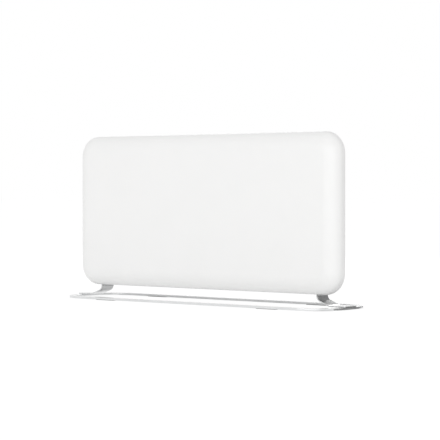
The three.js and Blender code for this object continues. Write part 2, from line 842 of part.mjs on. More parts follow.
function baseFrame() {
  const x = baseLength / 2;
  const y = baseDepth / 2;
  const w = baseBarWidth;
  const loop = roundedOutline(-x, x, -y, y, baseCornerRadius);
  loop.holes.push(roundedOutline(-x + w, x - w, -y + w, y - w, baseCornerRadius - w));
  const options = { depth: baseBarThickness, bevelEnabled: false, curveSegments: 12 };
  const frame = new THREE.ExtrudeGeometry(loop, options).translate(0, 0, padThickness);
  const holes = [];
  for (const side of sides) {
    for (const screwY of footScrewHeights) {
      const headRadius = footScrewHeadRadius + gap;
      const shankRadius = footScrewRadius + gap;
      const edge = footScrewEdge + gap * 2;
      const sink = [
        [0, -past], [headRadius, -past], [headRadius, edge], [shankRadius, edge + countersink],
        [shankRadius, baseBarThickness + past], [0, baseBarThickness + past],
      ];
      holes.push(turnedY(sink, fastenerSides).rotateX(Math.PI / 2)
        .translate(side * footScrewX, screwY, padThickness));
    }
  }
  return cut(frame, ...holes);
}

add('base_frame', baseFrame(), polishedSteel);

for (const [name, side] of Object.entries(sideNames)) {
  for (const [end, front] of Object.entries({ front: -1, rear: 1 })) {
    const x = side * padX;
    const y = front * (baseDepth / 2 - baseBarWidth / 2);
    const pad = roundedOutline(x - padLength / 2, x + padLength / 2,
      y - padWidth / 2, y + padWidth / 2, padWidth / 2 - 0.01);
    const options = { depth: padThickness, bevelEnabled: false, curveSegments: 4 };
    add(`foot_pad_${end}_${name}`, new THREE.ExtrudeGeometry(pad, options), rubber);
  }
}

// ---- Control bezel ------------------------------------------------------------------

const bezelY = coverBackY + gap;
const bezelFaceY = bezelY + bezelThickness;
const rimClear = gap * 2;
const switchWidth = rockerWidth + 2 * (runningGap + switchWall);
const switchLength = rockerLength + 2 * (rockerEndGap + switchWall);
const knobX = bezelLeft + knobInset;
const lampX = bezelRight - lampInset;
const rockerPlaces = rockerInsets.map((inset) => bezelRight - inset);

function controlBezel() {
  const plate = slabXZ(roundedOutline(bezelLeft, bezelRight, bezelLow, bezelHigh, bezelCorner),
    bezelY, bezelFaceY);
  const inset = bezelLap + rimClear;
  const rimBack = coverInnerY - rimDepth;
  const rim = cut(
    box(bezelLeft + inset, bezelRight - inset, rimBack, bezelY + past,
      bezelLow + inset, bezelHigh - inset),
    box(bezelLeft + inset + bezelRim, bezelRight - inset - bezelRim, rimBack - past, bezelY,
      bezelLow + inset + bezelRim, bezelHigh - inset - bezelRim));
  const barbs = [];
  for (const x of [controlX - barbSpacing / 2, controlX + barbSpacing / 2]) {
    const reach = barbReach + rimClear;
    barbs.push(box(x - barbLength / 2, x + barbLength / 2, rimBack, coverInnerY - gap,
      bezelHigh - inset - past, bezelHigh - inset + reach));
    barbs.push(box(x - barbLength / 2, x + barbLength / 2, rimBack, coverInnerY - gap,
      bezelLow + inset - reach, bezelLow + inset + past));
  }
  const switchHoles = rockerPlaces.map((x) => {
    const halfW = switchWidth / 2 + gap;
    const halfL = switchLength / 2 + gap;
    return box(x - halfW, x + halfW, rimBack - past, bezelFaceY + past,
      controlZ - halfL, controlZ + halfL);
  });
  return cut(join(plate, rim, ...barbs),
    cylinderY(bushRadius + gap, rimBack - past, bezelFaceY + past, knobX, controlZ, 16),
    cylinderY(lampRadius + gap, rimBack - past, bezelFaceY + past, lampX, controlZ, 14),
    ...switchHoles);
}

add('control_bezel', controlBezel(), greyPlastic);

// ---- Thermostat ---------------------------------------------------------------------

const bushFront = bezelFaceY - gap;
const thermostatFaceY = bezelY - gap;

function thermostatBody() {
  const body = box(knobX - thermostatWidth / 2, knobX + thermostatWidth / 2,
    thermostatFaceY - thermostatDepth, thermostatFaceY,
    controlZ - thermostatHeight / 2, controlZ + thermostatHeight / 2);
  const bush = cylinderY(bushRadius, thermostatFaceY - past, bushFront, knobX, controlZ, 16);
  const bore = cylinderY(shaftRadius + runningGap, bushFront - shaftInBush - gap,
    bushFront + past, knobX, controlZ, 16);
  return cut(join(body, bush), bore);
}

const shaftBackY = bushFront - shaftInBush;
const knobBackY = bezelFaceY + runningGap * 2;
const knobFrontY = knobBackY + knobHeight;
const knobBoreEnd = knobFrontY - knobDish - knobCap;
const shaftFrontY = knobBoreEnd - gap;

function thermostatKnob() {
  const bore = shaftRadius + gap;
  const dishY = knobFrontY - knobDish;
  const profile = [
    [bore, knobBackY], [knobRadius - knobBevel, knobBackY], [knobRadius, knobBackY + knobBevel],
    [knobRadius - knobBevel, knobFrontY - knobEdge], [knobRadius - knobBevel - knobEdge, knobFrontY],
    [knobRadius - knobRim, dishY], [0, dishY],
    [0, knobBoreEnd], [bore, knobBoreEnd], [bore, knobBackY],
  ];
  const skirt = turnedY(profile, 24).translate(knobX, 0, controlZ);
  const gripHalf = knobRadius - knobRim + past;
  const grip = box(knobX - knobGrip / 2, knobX + knobGrip / 2, dishY - past, knobFrontY - gap,
    controlZ - gripHalf, controlZ + gripHalf);
  return join(skirt, grip);
}

add('thermostat_body', thermostatBody(), darkPlastic);
add('thermostat_shaft', cylinderY(shaftRadius, shaftBackY, shaftFrontY, knobX, controlZ, 14), brass);
add('thermostat_knob', thermostatKnob(), whitePlastic);

// ---- Rocker switches ----------------------------------------------------------------

const switchFaceY = bezelFaceY + gap + switchFlange;
const rockerPivotY = switchFaceY - rockerSink;

function switchBody(x) {
  const halfW = switchWidth / 2;
  const halfL = switchLength / 2;
  const flange = box(x - halfW - switchLap, x + halfW + switchLap, bezelFaceY + gap, switchFaceY,
    controlZ - halfL - switchLap, controlZ + halfL + switchLap);
  const backY = switchFaceY - switchDepth;
  const body = box(x - halfW, x + halfW, backY, switchFaceY - switchFlange / 2,
    controlZ - halfL, controlZ + halfL);
  const tabs = sides.map((side) => {
    const z = controlZ + (side * tabSpacing) / 2;
    return box(x - tabWidth / 2, x + tabWidth / 2, backY - tabLength, backY + past,
      z - tabThickness / 2, z + tabThickness / 2);
  });
  const well = box(x - halfW + switchWall, x + halfW - switchWall,
    rockerPivotY - rockerBelow - rockerWellDepth, switchFaceY + past,
    controlZ - halfL + switchWall, controlZ + halfL - switchWall);
  return cut(join(flange, body, ...tabs), well);
}

// A rocker drawn round its pivot, with a crown that falls away to both ends.
function rockerPaddle() {
  const half = rockerLength / 2;
  const fall = half * Math.tan(radians(rockerTilt));
  const points = [
    [-rockerBelow, -half + 1], [-rockerBelow, half - 1], [0, half],
    [rockerCrown - fall * 0.2, half], [rockerCrown + fall, half * 0.96],
    [rockerCrown, 0], [rockerCrown + fall, -half * 0.96],
    [rockerCrown - fall * 0.2, -half], [0, -half],
  ];
  const shape = new THREE.Shape();
  points.forEach(([y, z], i) => (i === 0 ? shape.moveTo(y, z) : shape.lineTo(y, z)));
  return extrudeAlongX(shape, -rockerWidth / 2, rockerWidth / 2);
}

const heatNames = ['low', 'high'];
rockerPlaces.forEach((x, i) => {
  add(`rocker_switch_body_${heatNames[i]}`, switchBody(x), darkPlastic);
  const pivot = new THREE.Group();
  pivot.position.set(x, rockerPivotY, controlZ);
  pivot.rotation.x = radians(-rockerTilt);
  heater.add(pivot);
  add(`rocker_${heatNames[i]}`, rockerPaddle(), whitePlastic, pivot);
});

// ---- Pilot lamp, cord inlet, terminal block -----------------------------------------

const lampSeat = bezelFaceY + gap;
add('pilot_lamp', turnedY([
  [0, bezelY - lampBody], [lampRadius, bezelY - lampBody], [lampRadius, lampSeat],
  [lampRadius + lampLip, lampSeat], [lampRadius + lampLip, lampSeat + lampLip],
  [lampRadius - lampLip / 2, lampSeat + lampDome * 0.7],
  [lampRadius / 2, lampSeat + lampDome * 0.95], [0, lampSeat + lampDome],
], 14).translate(lampX, 0, controlZ), lampRed);

const glandSeat = coverBackY + gap;
const glandTail = coverInnerY - glandNose;
add('cord_inlet', turnedY([
  [glandBore, glandTail], [glandRadius, glandTail], [glandRadius, glandSeat],
  [glandRadius + glandFlange, glandSeat], [glandRadius + glandFlange, glandSeat + glandRim],
  [glandRadius, glandSeat + glandRim + 1], [glandBore + glandLip, glandSeat + glandNose],
  [glandBore, glandSeat + glandNose], [glandBore, glandTail],
], 16).translate(glandX, 0, glandZ), darkPlastic);

const blockBackY = coverInnerY - gap;

function terminalBlock() {
  const body = box(glandX - blockLength, glandX, blockBackY - blockDepth, blockBackY,
    blockZ - blockHeight / 2, blockZ + blockHeight / 2);
  const ways = [1, 3, 5].map((part) => {
    const x = glandX - (blockLength * part) / 6;
    return cylinderZ(wayRadius, blockZ - blockHeight, blockZ + blockHeight, x,
      blockBackY - wayDepth, fastenerSides);
  });
  const drivers = [1, 3, 5].map((part) => {
    const x = glandX - (blockLength * part) / 6;
    return cylinderY(wayRadius, blockBackY - blockDepth - past, blockBackY - wayDepth - past,
      x, blockZ, fastenerSides);
  });
  return cut(body, ...ways, ...drivers);
}

add('terminal_block', terminalBlock(), whitePlastic);

// ---- Safety cut-out and fuse --------------------------------------------------------

const cutoutFlange = cutoutRadius + cutoutRim;
const cutoutBody = join(
  turnedY([
    [0, 0], [cutoutFlange, 0], [cutoutFlange, cutoutRimThickness],
    [cutoutRadius, cutoutRimThickness], [cutoutRadius, cutoutHeight], [0, cutoutHeight],
  ], 16),
  ...sides.map((side) => box(-tabThickness / 2, tabThickness / 2,
    cutoutHeight - past, cutoutHeight + tabLength, -tabWidth / 2, tabWidth / 2)
    .translate((side * tabSpacing) / 2, 0, 0)));
add('thermal_cutout', cutoutBody.translate(cutoutX, insulationY, cutoutZ), darkPlastic);

const fuseY = insulationBackY + gap + fuseRadius;
add('thermal_fuse', cylinderX(fuseRadius, cutoutX - fuseLength / 2, cutoutX + fuseLength / 2,
  fuseY, cutoutZ - cutoutWell - fuseRadius * 2, 10), ceramic);

// ---- Room sensor: bulb, clip and capillary ------------------------------------------

const bulbZ = coverBottom + coverSheet + bulbRise;
const bulbY = coverInnerY - gap - bulbStandoff;
const clipHalf = bulbRadius + clipWall;

add('sensor_clip', cut(
  box(bulbX - clipLength / 2, bulbX + clipLength / 2, bulbY - clipHalf, coverInnerY - gap,
    bulbZ - clipHalf, bulbZ + clipHalf),
  cylinderX(bulbRadius + gap, bulbX - clipLength, bulbX + clipLength, bulbY, bulbZ, 12),
), whitePlastic);
add('sensor_bulb',
  cylinderX(bulbRadius, bulbX - bulbLength / 2, bulbX + bulbLength / 2, bulbY, bulbZ, 12), copper);

const bulbEnd = bulbX + bulbLength / 2 + gap;
const thermostatLow = controlZ - thermostatHeight / 2;
add('capillary_tube', tube([
  [bulbEnd, bulbY, bulbZ], [bulbEnd + 12, bulbY, bulbZ + 3], [bulbEnd + 24, bulbY - 2, bulbZ + 40],
  [bulbEnd + 10, bulbY - 4, (bulbZ + thermostatLow) / 2], [knobX + 6, bulbY - 3, thermostatLow - 50],
  [knobX, bulbY, thermostatLow - 14], [knobX, bulbY, thermostatLow - gap],
], capillaryRadius, 26), copper);

// ---- Tip-over switch ----------------------------------------------------------------
// A weighted pendulum in a small housing. When the heater falls it swings off
// its rest and opens the circuit.

const swingReach = (tipArm + tipBobRadius) * Math.sin(radians(tipSwing)) + tipBobRadius;
const tipHalfDepth = swingReach + tipClear + tipWall;
const tipPivotY = coverInnerY - gap - tipHalfDepth;
const tipHalfWidth = tipBobLength / 2 + tipClear + tipWall;
const tipHigh = tipPivotZ + tipAbove;
const tipLow = tipPivotZ - tipArm - tipBobRadius - tipClear * 2 - tipWall;

add('tip_switch_housing', cut(
  box(tipX - tipHalfWidth, tipX + tipHalfWidth, tipPivotY - tipHalfDepth, tipPivotY + tipHalfDepth,
    tipLow, tipHigh),
  box(tipX - tipHalfWidth + tipWall, tipX + tipHalfWidth - tipWall,
    tipPivotY - tipHalfDepth - past, tipPivotY + tipHalfDepth - tipWall,
    tipLow + tipWall, tipHigh - tipWall),
  cylinderX(tipPinRadius + runningGap, tipX - tipHalfWidth - past, tipX + tipHalfWidth + past,
    tipPivotY, tipPivotZ, 12),
), whitePlastic);

add('tip_switch_pendulum', join(
  cylinderX(tipPinRadius, tipX - tipHalfWidth, tipX + tipHalfWidth, tipPivotY, tipPivotZ, 12),
  box(tipX - tipArmWidth / 2, tipX + tipArmWidth / 2, tipPivotY - tipArmThickness / 2,
    tipPivotY + tipArmThickness / 2, tipPivotZ - tipArm, tipPivotZ),
  cylinderX(tipBobRadius, tipX - tipBobLength / 2, tipX + tipBobLength / 2,
    tipPivotY, tipPivotZ - tipArm, 12),
), brass);

export default heater;
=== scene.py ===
# %% [markdown]
# # A free-standing electric panel heater
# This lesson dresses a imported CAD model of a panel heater: a low, wide case of white
# painted sheet steel on two bent steel straps and one flat bar bent into a long loop.
# The CAD model is the fixed frame. Every piece made here sits where the frame says,
# rides on one of its bodies, and stands for the CAD nodes that it replaces.

# %% Load the frame
import json
import math

import bmesh
import bpy
from mathutils import Matrix, Vector


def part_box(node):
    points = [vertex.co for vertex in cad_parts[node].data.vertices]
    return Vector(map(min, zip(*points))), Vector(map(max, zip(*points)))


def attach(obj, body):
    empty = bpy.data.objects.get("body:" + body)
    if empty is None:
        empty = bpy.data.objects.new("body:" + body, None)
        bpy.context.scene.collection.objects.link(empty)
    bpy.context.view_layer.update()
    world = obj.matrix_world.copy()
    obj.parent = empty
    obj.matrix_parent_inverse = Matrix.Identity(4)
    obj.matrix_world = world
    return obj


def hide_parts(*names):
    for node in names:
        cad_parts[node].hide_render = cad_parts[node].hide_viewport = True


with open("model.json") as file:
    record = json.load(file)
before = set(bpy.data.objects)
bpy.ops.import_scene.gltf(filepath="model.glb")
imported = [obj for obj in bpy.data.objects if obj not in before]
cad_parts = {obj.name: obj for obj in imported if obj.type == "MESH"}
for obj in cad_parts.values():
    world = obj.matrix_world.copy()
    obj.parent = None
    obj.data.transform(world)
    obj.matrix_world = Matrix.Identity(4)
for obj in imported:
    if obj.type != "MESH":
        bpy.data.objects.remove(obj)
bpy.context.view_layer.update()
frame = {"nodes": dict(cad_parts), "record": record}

scene = bpy.context.scene
print("nodes:", len(frame["nodes"]))

# %% [markdown]
# ## The camera
# The photograph was taken from the front right, almost level with the heater. A pinhole
# camera was fitted to the outline of the case, the loop and the straps, which gave the
# angle, the distance and the lens. Yaw is measured from the heater's front, pitch is how
# far the camera looks down.

# %% Camera
CAMERA_YAW = math.radians(40.458)
CAMERA_PITCH = 0.01759
CAMERA_DISTANCE = 4.9204
CAMERA_TARGET = Vector((0.0560, -0.0205, 0.2274))
FOCAL_PIXELS = 1813.4
FRAME_PIXELS = 440
SENSOR_WIDTH = 36.0

forward = Vector((
    -math.sin(CAMERA_YAW) * math.cos(CAMERA_PITCH),
    math.cos(CAMERA_YAW) * math.cos(CAMERA_PITCH),
    -math.sin(CAMERA_PITCH),
))
camera_data = bpy.data.cameras.new("photo_camera")
camera_data.sensor_width = SENSOR_WIDTH
camera_data.lens = SENSOR_WIDTH * FOCAL_PIXELS / FRAME_PIXELS
camera = bpy.data.objects.new("photo_camera", camera_data)
scene.collection.objects.link(camera)
camera.location = CAMERA_TARGET - forward * CAMERA_DISTANCE
camera.rotation_euler = forward.to_track_quat("-Z", "Y").to_euler()
scene.camera = camera
print("camera at", [round(v, 3) for v in camera.location], "lens", round(camera_data.lens, 1))

# %% [markdown]
# ## Helpers for nodes and materials
# One helper adds a node to any tree, for a finish or for a shape. Each finish reads
# Object coordinates, so a pattern stays on its piece when the piece moves. A number that
# is the same all over goes straight onto the shader's own socket. Only what varies over
# the surface gets nodes.

# %% Node and material helpers
MM = 0.001
PATTERN_ENDS = (0.3, 0.7)


def step(tree, kind, inputs, output=0, **settings):
    """Add one node. An input is a socket to link, a list of them, or a plain value."""
    node = tree.nodes.new(kind)
    for key, value in settings.items():
        setattr(node, key, value)
    for key, value in inputs.items():
        for one in value if isinstance(value, list) else [value]:
            if isinstance(one, bpy.types.NodeSocket):
                tree.links.new(one, node.inputs[key])
            else:
                node.inputs[key].default_value = one
    return node.outputs[output]


def new_material(name, colour, roughness, metallic=0.0):
    """A material with its constant values set, and its tree, shader and coordinates."""
    material = bpy.data.materials.new(name)
    material.use_nodes = True
    tree = material.node_tree
    shader = tree.nodes["Principled BSDF"]
    shader.inputs["Base Color"].default_value = (*colour, 1.0)
    shader.inputs["Roughness"].default_value = roughness
    shader.inputs["Metallic"].default_value = metallic
    return material, tree, shader, step(tree, "ShaderNodeTexCoord", {}, "Object")


def noise(tree, place, scale, detail=2.0, stretch=(1.0, 1.0, 1.0)):
    """Noise over the surface. Stretch multiplies the frequency along each axis."""
    stretched = step(tree, "ShaderNodeMapping", {"Vector": place, "Scale": stretch})
    inputs = {"Vector": stretched, "Scale": scale, "Detail": detail}
    return step(tree, "ShaderNodeTexNoise", inputs, "Fac")


def vary_colour(tree, shader, factor, dark, light):
    """Colour between two tones, chosen by a pattern."""
    ramp = tree.nodes.new("ShaderNodeValToRGB")
    for element, position, colour in zip(ramp.color_ramp.elements, PATTERN_ENDS, (dark, light)):
        element.position = position
        element.color = (*colour, 1.0)
    tree.links.new(factor, ramp.inputs["Fac"])
    tree.links.new(ramp.outputs["Color"], shader.inputs["Base Color"])


def vary_roughness(tree, shader, factor, low, high):
    """Roughness between two values, chosen by a pattern."""
    spread = step(tree, "ShaderNodeMapRange", {
        "Value": factor, "From Min": PATTERN_ENDS[0], "From Max": PATTERN_ENDS[1],
        "To Min": low, "To Max": high})
    tree.links.new(spread, shader.inputs["Roughness"])


def add_bump(tree, shader, height, depth):
    """Fine relief, depth metres high, from a pattern."""
    normal = step(tree, "ShaderNodeBump", {"Height": height, "Distance": depth, "Strength": 1.0})
    tree.links.new(normal, shader.inputs["Normal"])


def tone(colour, factor):
    """The same colour, a little darker or lighter."""
    return tuple(min(1.0, channel * factor) for channel in colour)


# %% [markdown]
# ## Finishes
# The case has a white powder coat: satin, with a fine orange-peel relief about a
# millimetre across. The straps and the loop are polished steel with faint brushing
# along their length. The rest is moulded plastic, rubber, zinc-plated screws and the
# sheets inside.

# %% Painted and plastic finishes
def powder_coat(name, colour):
    """Satin paint with faint patches of tone and fine orange peel."""
    material, tree, shader, place = new_material(name, colour, 0.42)
    shader.inputs["Coat Weight"].default_value = 0.08
    shader.inputs["Coat Roughness"].default_value = 0.25
    patches = noise(tree, place, scale=9.0, detail=3.0)
    vary_colour(tree, shader, patches, tone(colour, 0.994), tone(colour, 1.006))
    vary_roughness(tree, shader, noise(tree, place, scale=60.0), 0.39, 0.46)
    add_bump(tree, shader, noise(tree, place, scale=700.0, detail=1.0), depth=0.00003)
    return material


def moulded_plastic(name, colour, roughness, grain):
    """Plastic from a tool with a spark-eroded texture of the given grain, in metres."""
    material, tree, shader, place = new_material(name, colour, roughness)
    patches = noise(tree, place, scale=40.0)
    vary_colour(tree, shader, patches, tone(colour, 0.97), tone(colour, 1.03))
    vary_roughness(tree, shader, noise(tree, place, scale=300.0), roughness - 0.05, roughness + 0.06)
    add_bump(tree, shader, noise(tree, place, scale=1.0 / grain), depth=grain * 0.05)
    return material


PLASTICS = {
    # slot: colour, roughness, grain
    "white_plastic": ((0.80, 0.80, 0.785), 0.42, 0.0004),
    "grey_plastic": ((0.27, 0.285, 0.295), 0.5, 0.0005),
    "dark_plastic": ((0.028, 0.028, 0.03), 0.45, 0.0005),
    "pad_rubber": ((0.035, 0.035, 0.036), 0.8, 0.0008),
    "white_ceramic": ((0.82, 0.78, 0.70), 0.35, 0.0006),
}
finishes = {slot: moulded_plastic(slot, *values) for slot, values in PLASTICS.items()}
finishes["white_paint"] = powder_coat("white_powder_coat", (0.89, 0.89, 0.885))
print("paint, plastic, rubber and ceramic:", len(finishes))

# %% Metal finishes
def brushed_metal(name, colour, rough_low, rough_high, stretch, follow=None):
    """Metal with streaks. The streaks run along the axis whose stretch is small."""
    material, tree, shader, place = new_material(name, colour, rough_low, metallic=1.0)
    streaks = noise(tree, follow(tree) if follow else place, scale=1.0, detail=3.0, stretch=stretch)
    patches = noise(tree, place, scale=25.0)
    vary_colour(tree, shader, patches, tone(colour, 0.97), tone(colour, 1.02))
    vary_roughness(tree, shader, streaks, rough_low, rough_high)
    add_bump(tree, shader, streaks, depth=0.000004)
    return material


def bar_place(tree):
    """Where a point lies on a bent bar: how far along it, and how far round its section."""
    along, around = [step(tree, "ShaderNodeAttribute", {}, "Fac", attribute_name=name)
                     for name in ("along_bar", "round_bar")]
    return step(tree, "ShaderNodeCombineXYZ", {"X": along, "Y": around})


STEEL = (0.72, 0.725, 0.73)
METALS = {
    # slot: name, colour, least and most roughness, streaks per metre along X, Y and Z
    "polished_steel": ("strap_steel", STEEL, 0.14, 0.24, (12.0, 1500.0, 12.0)),
    "zinc_steel": ("zinc_plate", (0.50, 0.52, 0.54), 0.32, 0.45, (400.0, 400.0, 400.0)),
    "bright_aluminium": ("bright_aluminium", (0.78, 0.79, 0.80), 0.2, 0.32, (15.0, 900.0, 900.0)),
    "brass_parts": ("turned_brass", (0.60, 0.43, 0.16), 0.25, 0.35, (900.0, 60.0, 900.0)),
    "copper_parts": ("drawn_copper", (0.62, 0.30, 0.17), 0.25, 0.38, (60.0, 500.0, 60.0)),
    "resistance_alloy": ("alloy_ribbon", (0.30, 0.27, 0.24), 0.4, 0.55, (20.0, 800.0, 800.0)),
}
finishes |= {slot: brushed_metal(*values) for slot, values in METALS.items()}
loop_steel = brushed_metal("loop_steel", STEEL, 0.14, 0.24, (12.0, 1500.0, 1.0), follow=bar_place)
print("metal finishes:", len(METALS) + 1)

# %% Sheets and the lamp
def flaky_sheet(name, dark, light, scale, roughness):
    """A pressed sheet with flakes or fibres in two tones."""
    material, tree, shader, place = new_material(name, light, roughness)
    flakes = step(tree, "ShaderNodeTexVoronoi", {"Vector": place, "Scale": scale}, "Distance")
    vary_colour(tree, shader, flakes, dark, light)
    add_bump(tree, shader, flakes, depth=0.00008)
    return material


def lamp_lens():
    """Red plastic, clear and glossy on the outside."""
    material, tree, shader, place = new_material("red_lens", (0.50, 0.035, 0.015), 0.1)
    shader.inputs["Coat Weight"].default_value = 0.6
    shader.inputs["Coat Roughness"].default_value = 0.05
    cells = noise(tree, place, scale=220.0)
    vary_colour(tree, shader, cells, dark=(0.42, 0.028, 0.012), light=(0.55, 0.04, 0.018))
    return material


SHEETS = {
    # slot: dark tone, light tone, flakes per metre, roughness
    "mica_sheet": ((0.50, 0.38, 0.20), (0.62, 0.50, 0.29), 180.0, 0.45),
    "fibre_board": ((0.60, 0.57, 0.49), (0.70, 0.67, 0.59), 320.0, 0.95),
}
finishes |= {slot: flaky_sheet(slot, *values) for slot, values in SHEETS.items()}
finishes["red_lens"] = lamp_lens()
print("slots with a finish:", len(finishes))

# %% [markdown]
# ## Which finish goes on which CAD node
# The frame's record names a material slot for each node. Every node first gets the
# finish of its slot, so a piece inside the case that stays as the CAD made it is
# finished too.

# %% Finish every CAD node
slot_of = {part["node"]: part["material_slot"] for part in frame["record"]["subparts"]}
bodies = frame["record"]["behaviour"]["bodies"]
body_of = {member: body for body, members in bodies.items() for member in members}
for node_name, node in frame["nodes"].items():
    node.data.materials.clear()
    node.data.materials.append(finishes[slot_of[node_name]])
print("finished CAD nodes:", len(frame["nodes"]))

# %% [markdown]
# ## Helpers for pieces
# A piece is a plain mesh at the origin. These helpers clean meshes up, cut and join
# shapes, soften sharp edges, and hand the finished piece to the frame.

# %% Piece helpers
SHARP_ANGLE = math.radians(35.0)


def object_from(name, mesh):
    """An object in the scene around a mesh."""
    thing = bpy.data.objects.new(name, mesh)
    scene.collection.objects.link(thing)
    return thing


def cleaned(mesh, clean):
    """Clean a mesh up through bmesh, and turn its faces outward."""
    shape = bmesh.new()
    shape.from_mesh(mesh)
    clean(shape)
    bmesh.ops.recalc_face_normals(shape, faces=shape.faces)
    shape.to_mesh(mesh)
    shape.free()
    return mesh


def mesh_from(name, points, faces):
    """A mesh with outward faces, from points and faces of any number of corners."""
    mesh = bpy.data.meshes.new(name)
    mesh.from_pydata(points, [], faces)
    return cleaned(mesh, lambda shape: bmesh.ops.remove_doubles(shape, verts=shape.verts, dist=1e-7))


def settle(thing):
    """Replace an object's mesh by what its modifiers make of it."""
    bpy.context.view_layer.update()
    graph = bpy.context.evaluated_depsgraph_get()
    mesh = bpy.data.meshes.new_from_object(thing.evaluated_get(graph))
    thing.modifiers.clear()
    thing.data = mesh
    return thing


def combine(thing, operation, *others):
    """Cut other shapes out of a thing, or join them to it, and delete them."""
    for other in others:
        boolean = thing.modifiers.new("combine", "BOOLEAN")
        boolean.operation = operation
        boolean.solver = "EXACT"
        boolean.object = other
    settle(thing)
    for other in others:
        bpy.data.objects.remove(other)


def soften(thing, width, segments=2):
    """Round the sharp edges over."""
    bevel = thing.modifiers.new("soften", "BEVEL")
    bevel.width = width
    bevel.segments = segments
    bevel.limit_method = "ANGLE"
    bevel.angle_limit = SHARP_ANGLE
    bevel.use_clamp_overlap = True
    return settle(thing)


def shade(thing):
    """Smooth shading in which large flat faces stay flat beside their rounded edges."""
    for polygon in thing.data.polygons:
        polygon.use_smooth = True
        polygon.material_index = 0
    thing.data.set_sharp_from_angle(angle=SHARP_ANGLE)
    weighted = thing.modifiers.new("weighted", "WEIGHTED_NORMAL")
    weighted.keep_sharp = True
    settle(thing)


def finish_piece(thing, *nodes, finish=None, body=None, slot=None):
    """Shade a piece, give it the finish of its slot or another, and hand it to the frame."""
    shade(thing)
    mesh = thing.data
    mesh.materials.clear()
    mesh.materials.append(finish or finishes[slot or slot_of[nodes[0]]])
    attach(thing, body or body_of[nodes[0]])
    if nodes:
        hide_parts(*nodes)
    print(thing.name, len(mesh.polygons), "faces")

# %% [markdown]
# ## The case's outline
# The front shell and the back cover share one outline, a rectangle with round corners.
# Each is a loft: the same outline again and again, moved in and back a little each
# time. A quarter of an ellipse gives the soft rolled edges, and also the round edges of
# pieces that are turned.

# %% Rings and lofts
shell_low, shell_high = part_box("front_panel")
cover_low, cover_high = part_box("rear_cover")
CORNER_RADIUS = 58 * MM
LEAST_RADIUS = 4 * MM
CORNER_STEPS = 20


def quarter_arc(centre, radii, start, first=0, steps=4):
    """Points on a quarter of an ellipse, from the start angle in degrees."""
    angles = [math.radians(start + 90 * i / steps) for i in range(first, steps + 1)]
    return [(centre[0] + radii[0] * math.cos(angle), centre[1] + radii[1] * math.sin(angle))
            for angle in angles]


def case_ring(inset, y):
    """The case's outline moved in by inset, at depth y."""
    radius = max(CORNER_RADIUS - inset, LEAST_RADIUS)
    left, right = shell_low.x + inset + radius, shell_high.x - inset - radius
    bottom, top = shell_low.z + inset + radius, shell_high.z - inset - radius
    ring = []
    for i, centre in enumerate(((right, top), (left, top), (left, bottom), (right, bottom))):
        arc = quarter_arc(centre, (radius, radius), 90 * i, steps=CORNER_STEPS)
        ring += [(x, y, z) for x, z in arc]
    return ring


def rolled_edge(inset_0, y_0, inset_1, y_1, steps, leaves_flat):
    """Rings along a quarter ellipse, which leaves the first point flat or upright."""
    rings = []
    for i in range(steps + 1):
        angle = math.pi / 2 * i / steps
        fast, slow = math.sin(angle), 1 - math.cos(angle)
        across, along = (fast, slow) if leaves_flat else (slow, fast)
        rings.append(case_ring(inset_0 + (inset_1 - inset_0) * across, y_0 + (y_1 - y_0) * along))
    return rings


def loft(name, rings):
    """A closed body through rings of equal count, capped at both ends."""
    count = len(rings[0])
    points = [point for ring in rings for point in ring]
    faces = []
    for r in range(len(rings) - 1):
        for i in range(count):
            a, b = r * count + i, r * count + (i + 1) % count
            faces.append((a, b, b + count, a + count))
    faces.append(tuple(range(count)))
    faces.append(tuple(range(len(points) - count, len(points))))
    return object_from(name, mesh_from(name, points, faces))


def block(name, low, high):
    """A plain box between two corners."""
    around = ((low[0], low[1]), (high[0], low[1]), (high[0], high[1]), (low[0], high[1]))
    return loft(name, [[(x, y, z) for x, y in around] for z in (low[2], high[2])])


def turned(name, profile, place, segments=32, axis="Y"):
    """A closed turned piece from [radius, height] points, about an axis through place."""
    points, faces = [], []
    for i in range(segments):
        angle = 2 * math.pi * i / segments
        for radius, height in profile:
            first, second = radius * math.cos(angle), radius * math.sin(angle)
            points.append((first, height, second) if axis == "Y" else (first, second, height))
    count = len(profile)
    for i in range(segments):
        for j in range(count - 1):
            a, b = i * count + j, ((i + 1) % segments) * count + j
            faces.append((a, b, b + 1, a + 1))
    mesh = mesh_from(name, points, faces)
    cleaned(mesh, lambda shape: bmesh.ops.dissolve_degenerate(shape, dist=1e-8, edges=shape.edges))
    mesh.transform(Matrix.Translation(Vector(place)))
    return object_from(name, mesh)


print("ring of", len(case_ring(0.0, 0.0)), "points")

# %% [markdown]
# ## Cutters that repeat
# Rows of slots, screw holes and flutes are all one shape set out by a rule. Geometry
# Nodes make them: a tree with named inputs builds one cutter, sets it out on points,
# and realises the copies into plain mesh. The same helpers build the loop, the screws
# and the ticks. The slots have round ends, as a punch leaves them.

# %% Geometry Nodes helpers
def new_tree(name, sizes):
    """An empty tree with one named input for each size."""
    tree = bpy.data.node_groups.new(name, "GeometryNodeTree")
    tree.interface.new_socket("Geometry", in_out="INPUT", socket_type="NodeSocketGeometry")
    for label, value in sizes.items():
        kind = "NodeSocketInt" if isinstance(value, int) else "NodeSocketFloat"
        tree.interface.new_socket(label, in_out="INPUT", socket_type=kind).default_value = value
    tree.interface.new_socket("Geometry", in_out="OUTPUT", socket_type="NodeSocketGeometry")
    return tree, tree.nodes.new("NodeGroupInput").outputs


def maths(tree, operation, a, b):
    return step(tree, "ShaderNodeMath", {0: a, 1: b}, operation=operation)


def vector(tree, x=0.0, y=0.0, z=0.0):
    return step(tree, "ShaderNodeCombineXYZ", {"X": x, "Y": y, "Z": z})


def lifted(tree, geometry, z):
    """A geometry moved along Z."""
    return step(tree, "GeometryNodeTransform", {"Geometry": geometry, "Translation": vector(tree, z=z)})


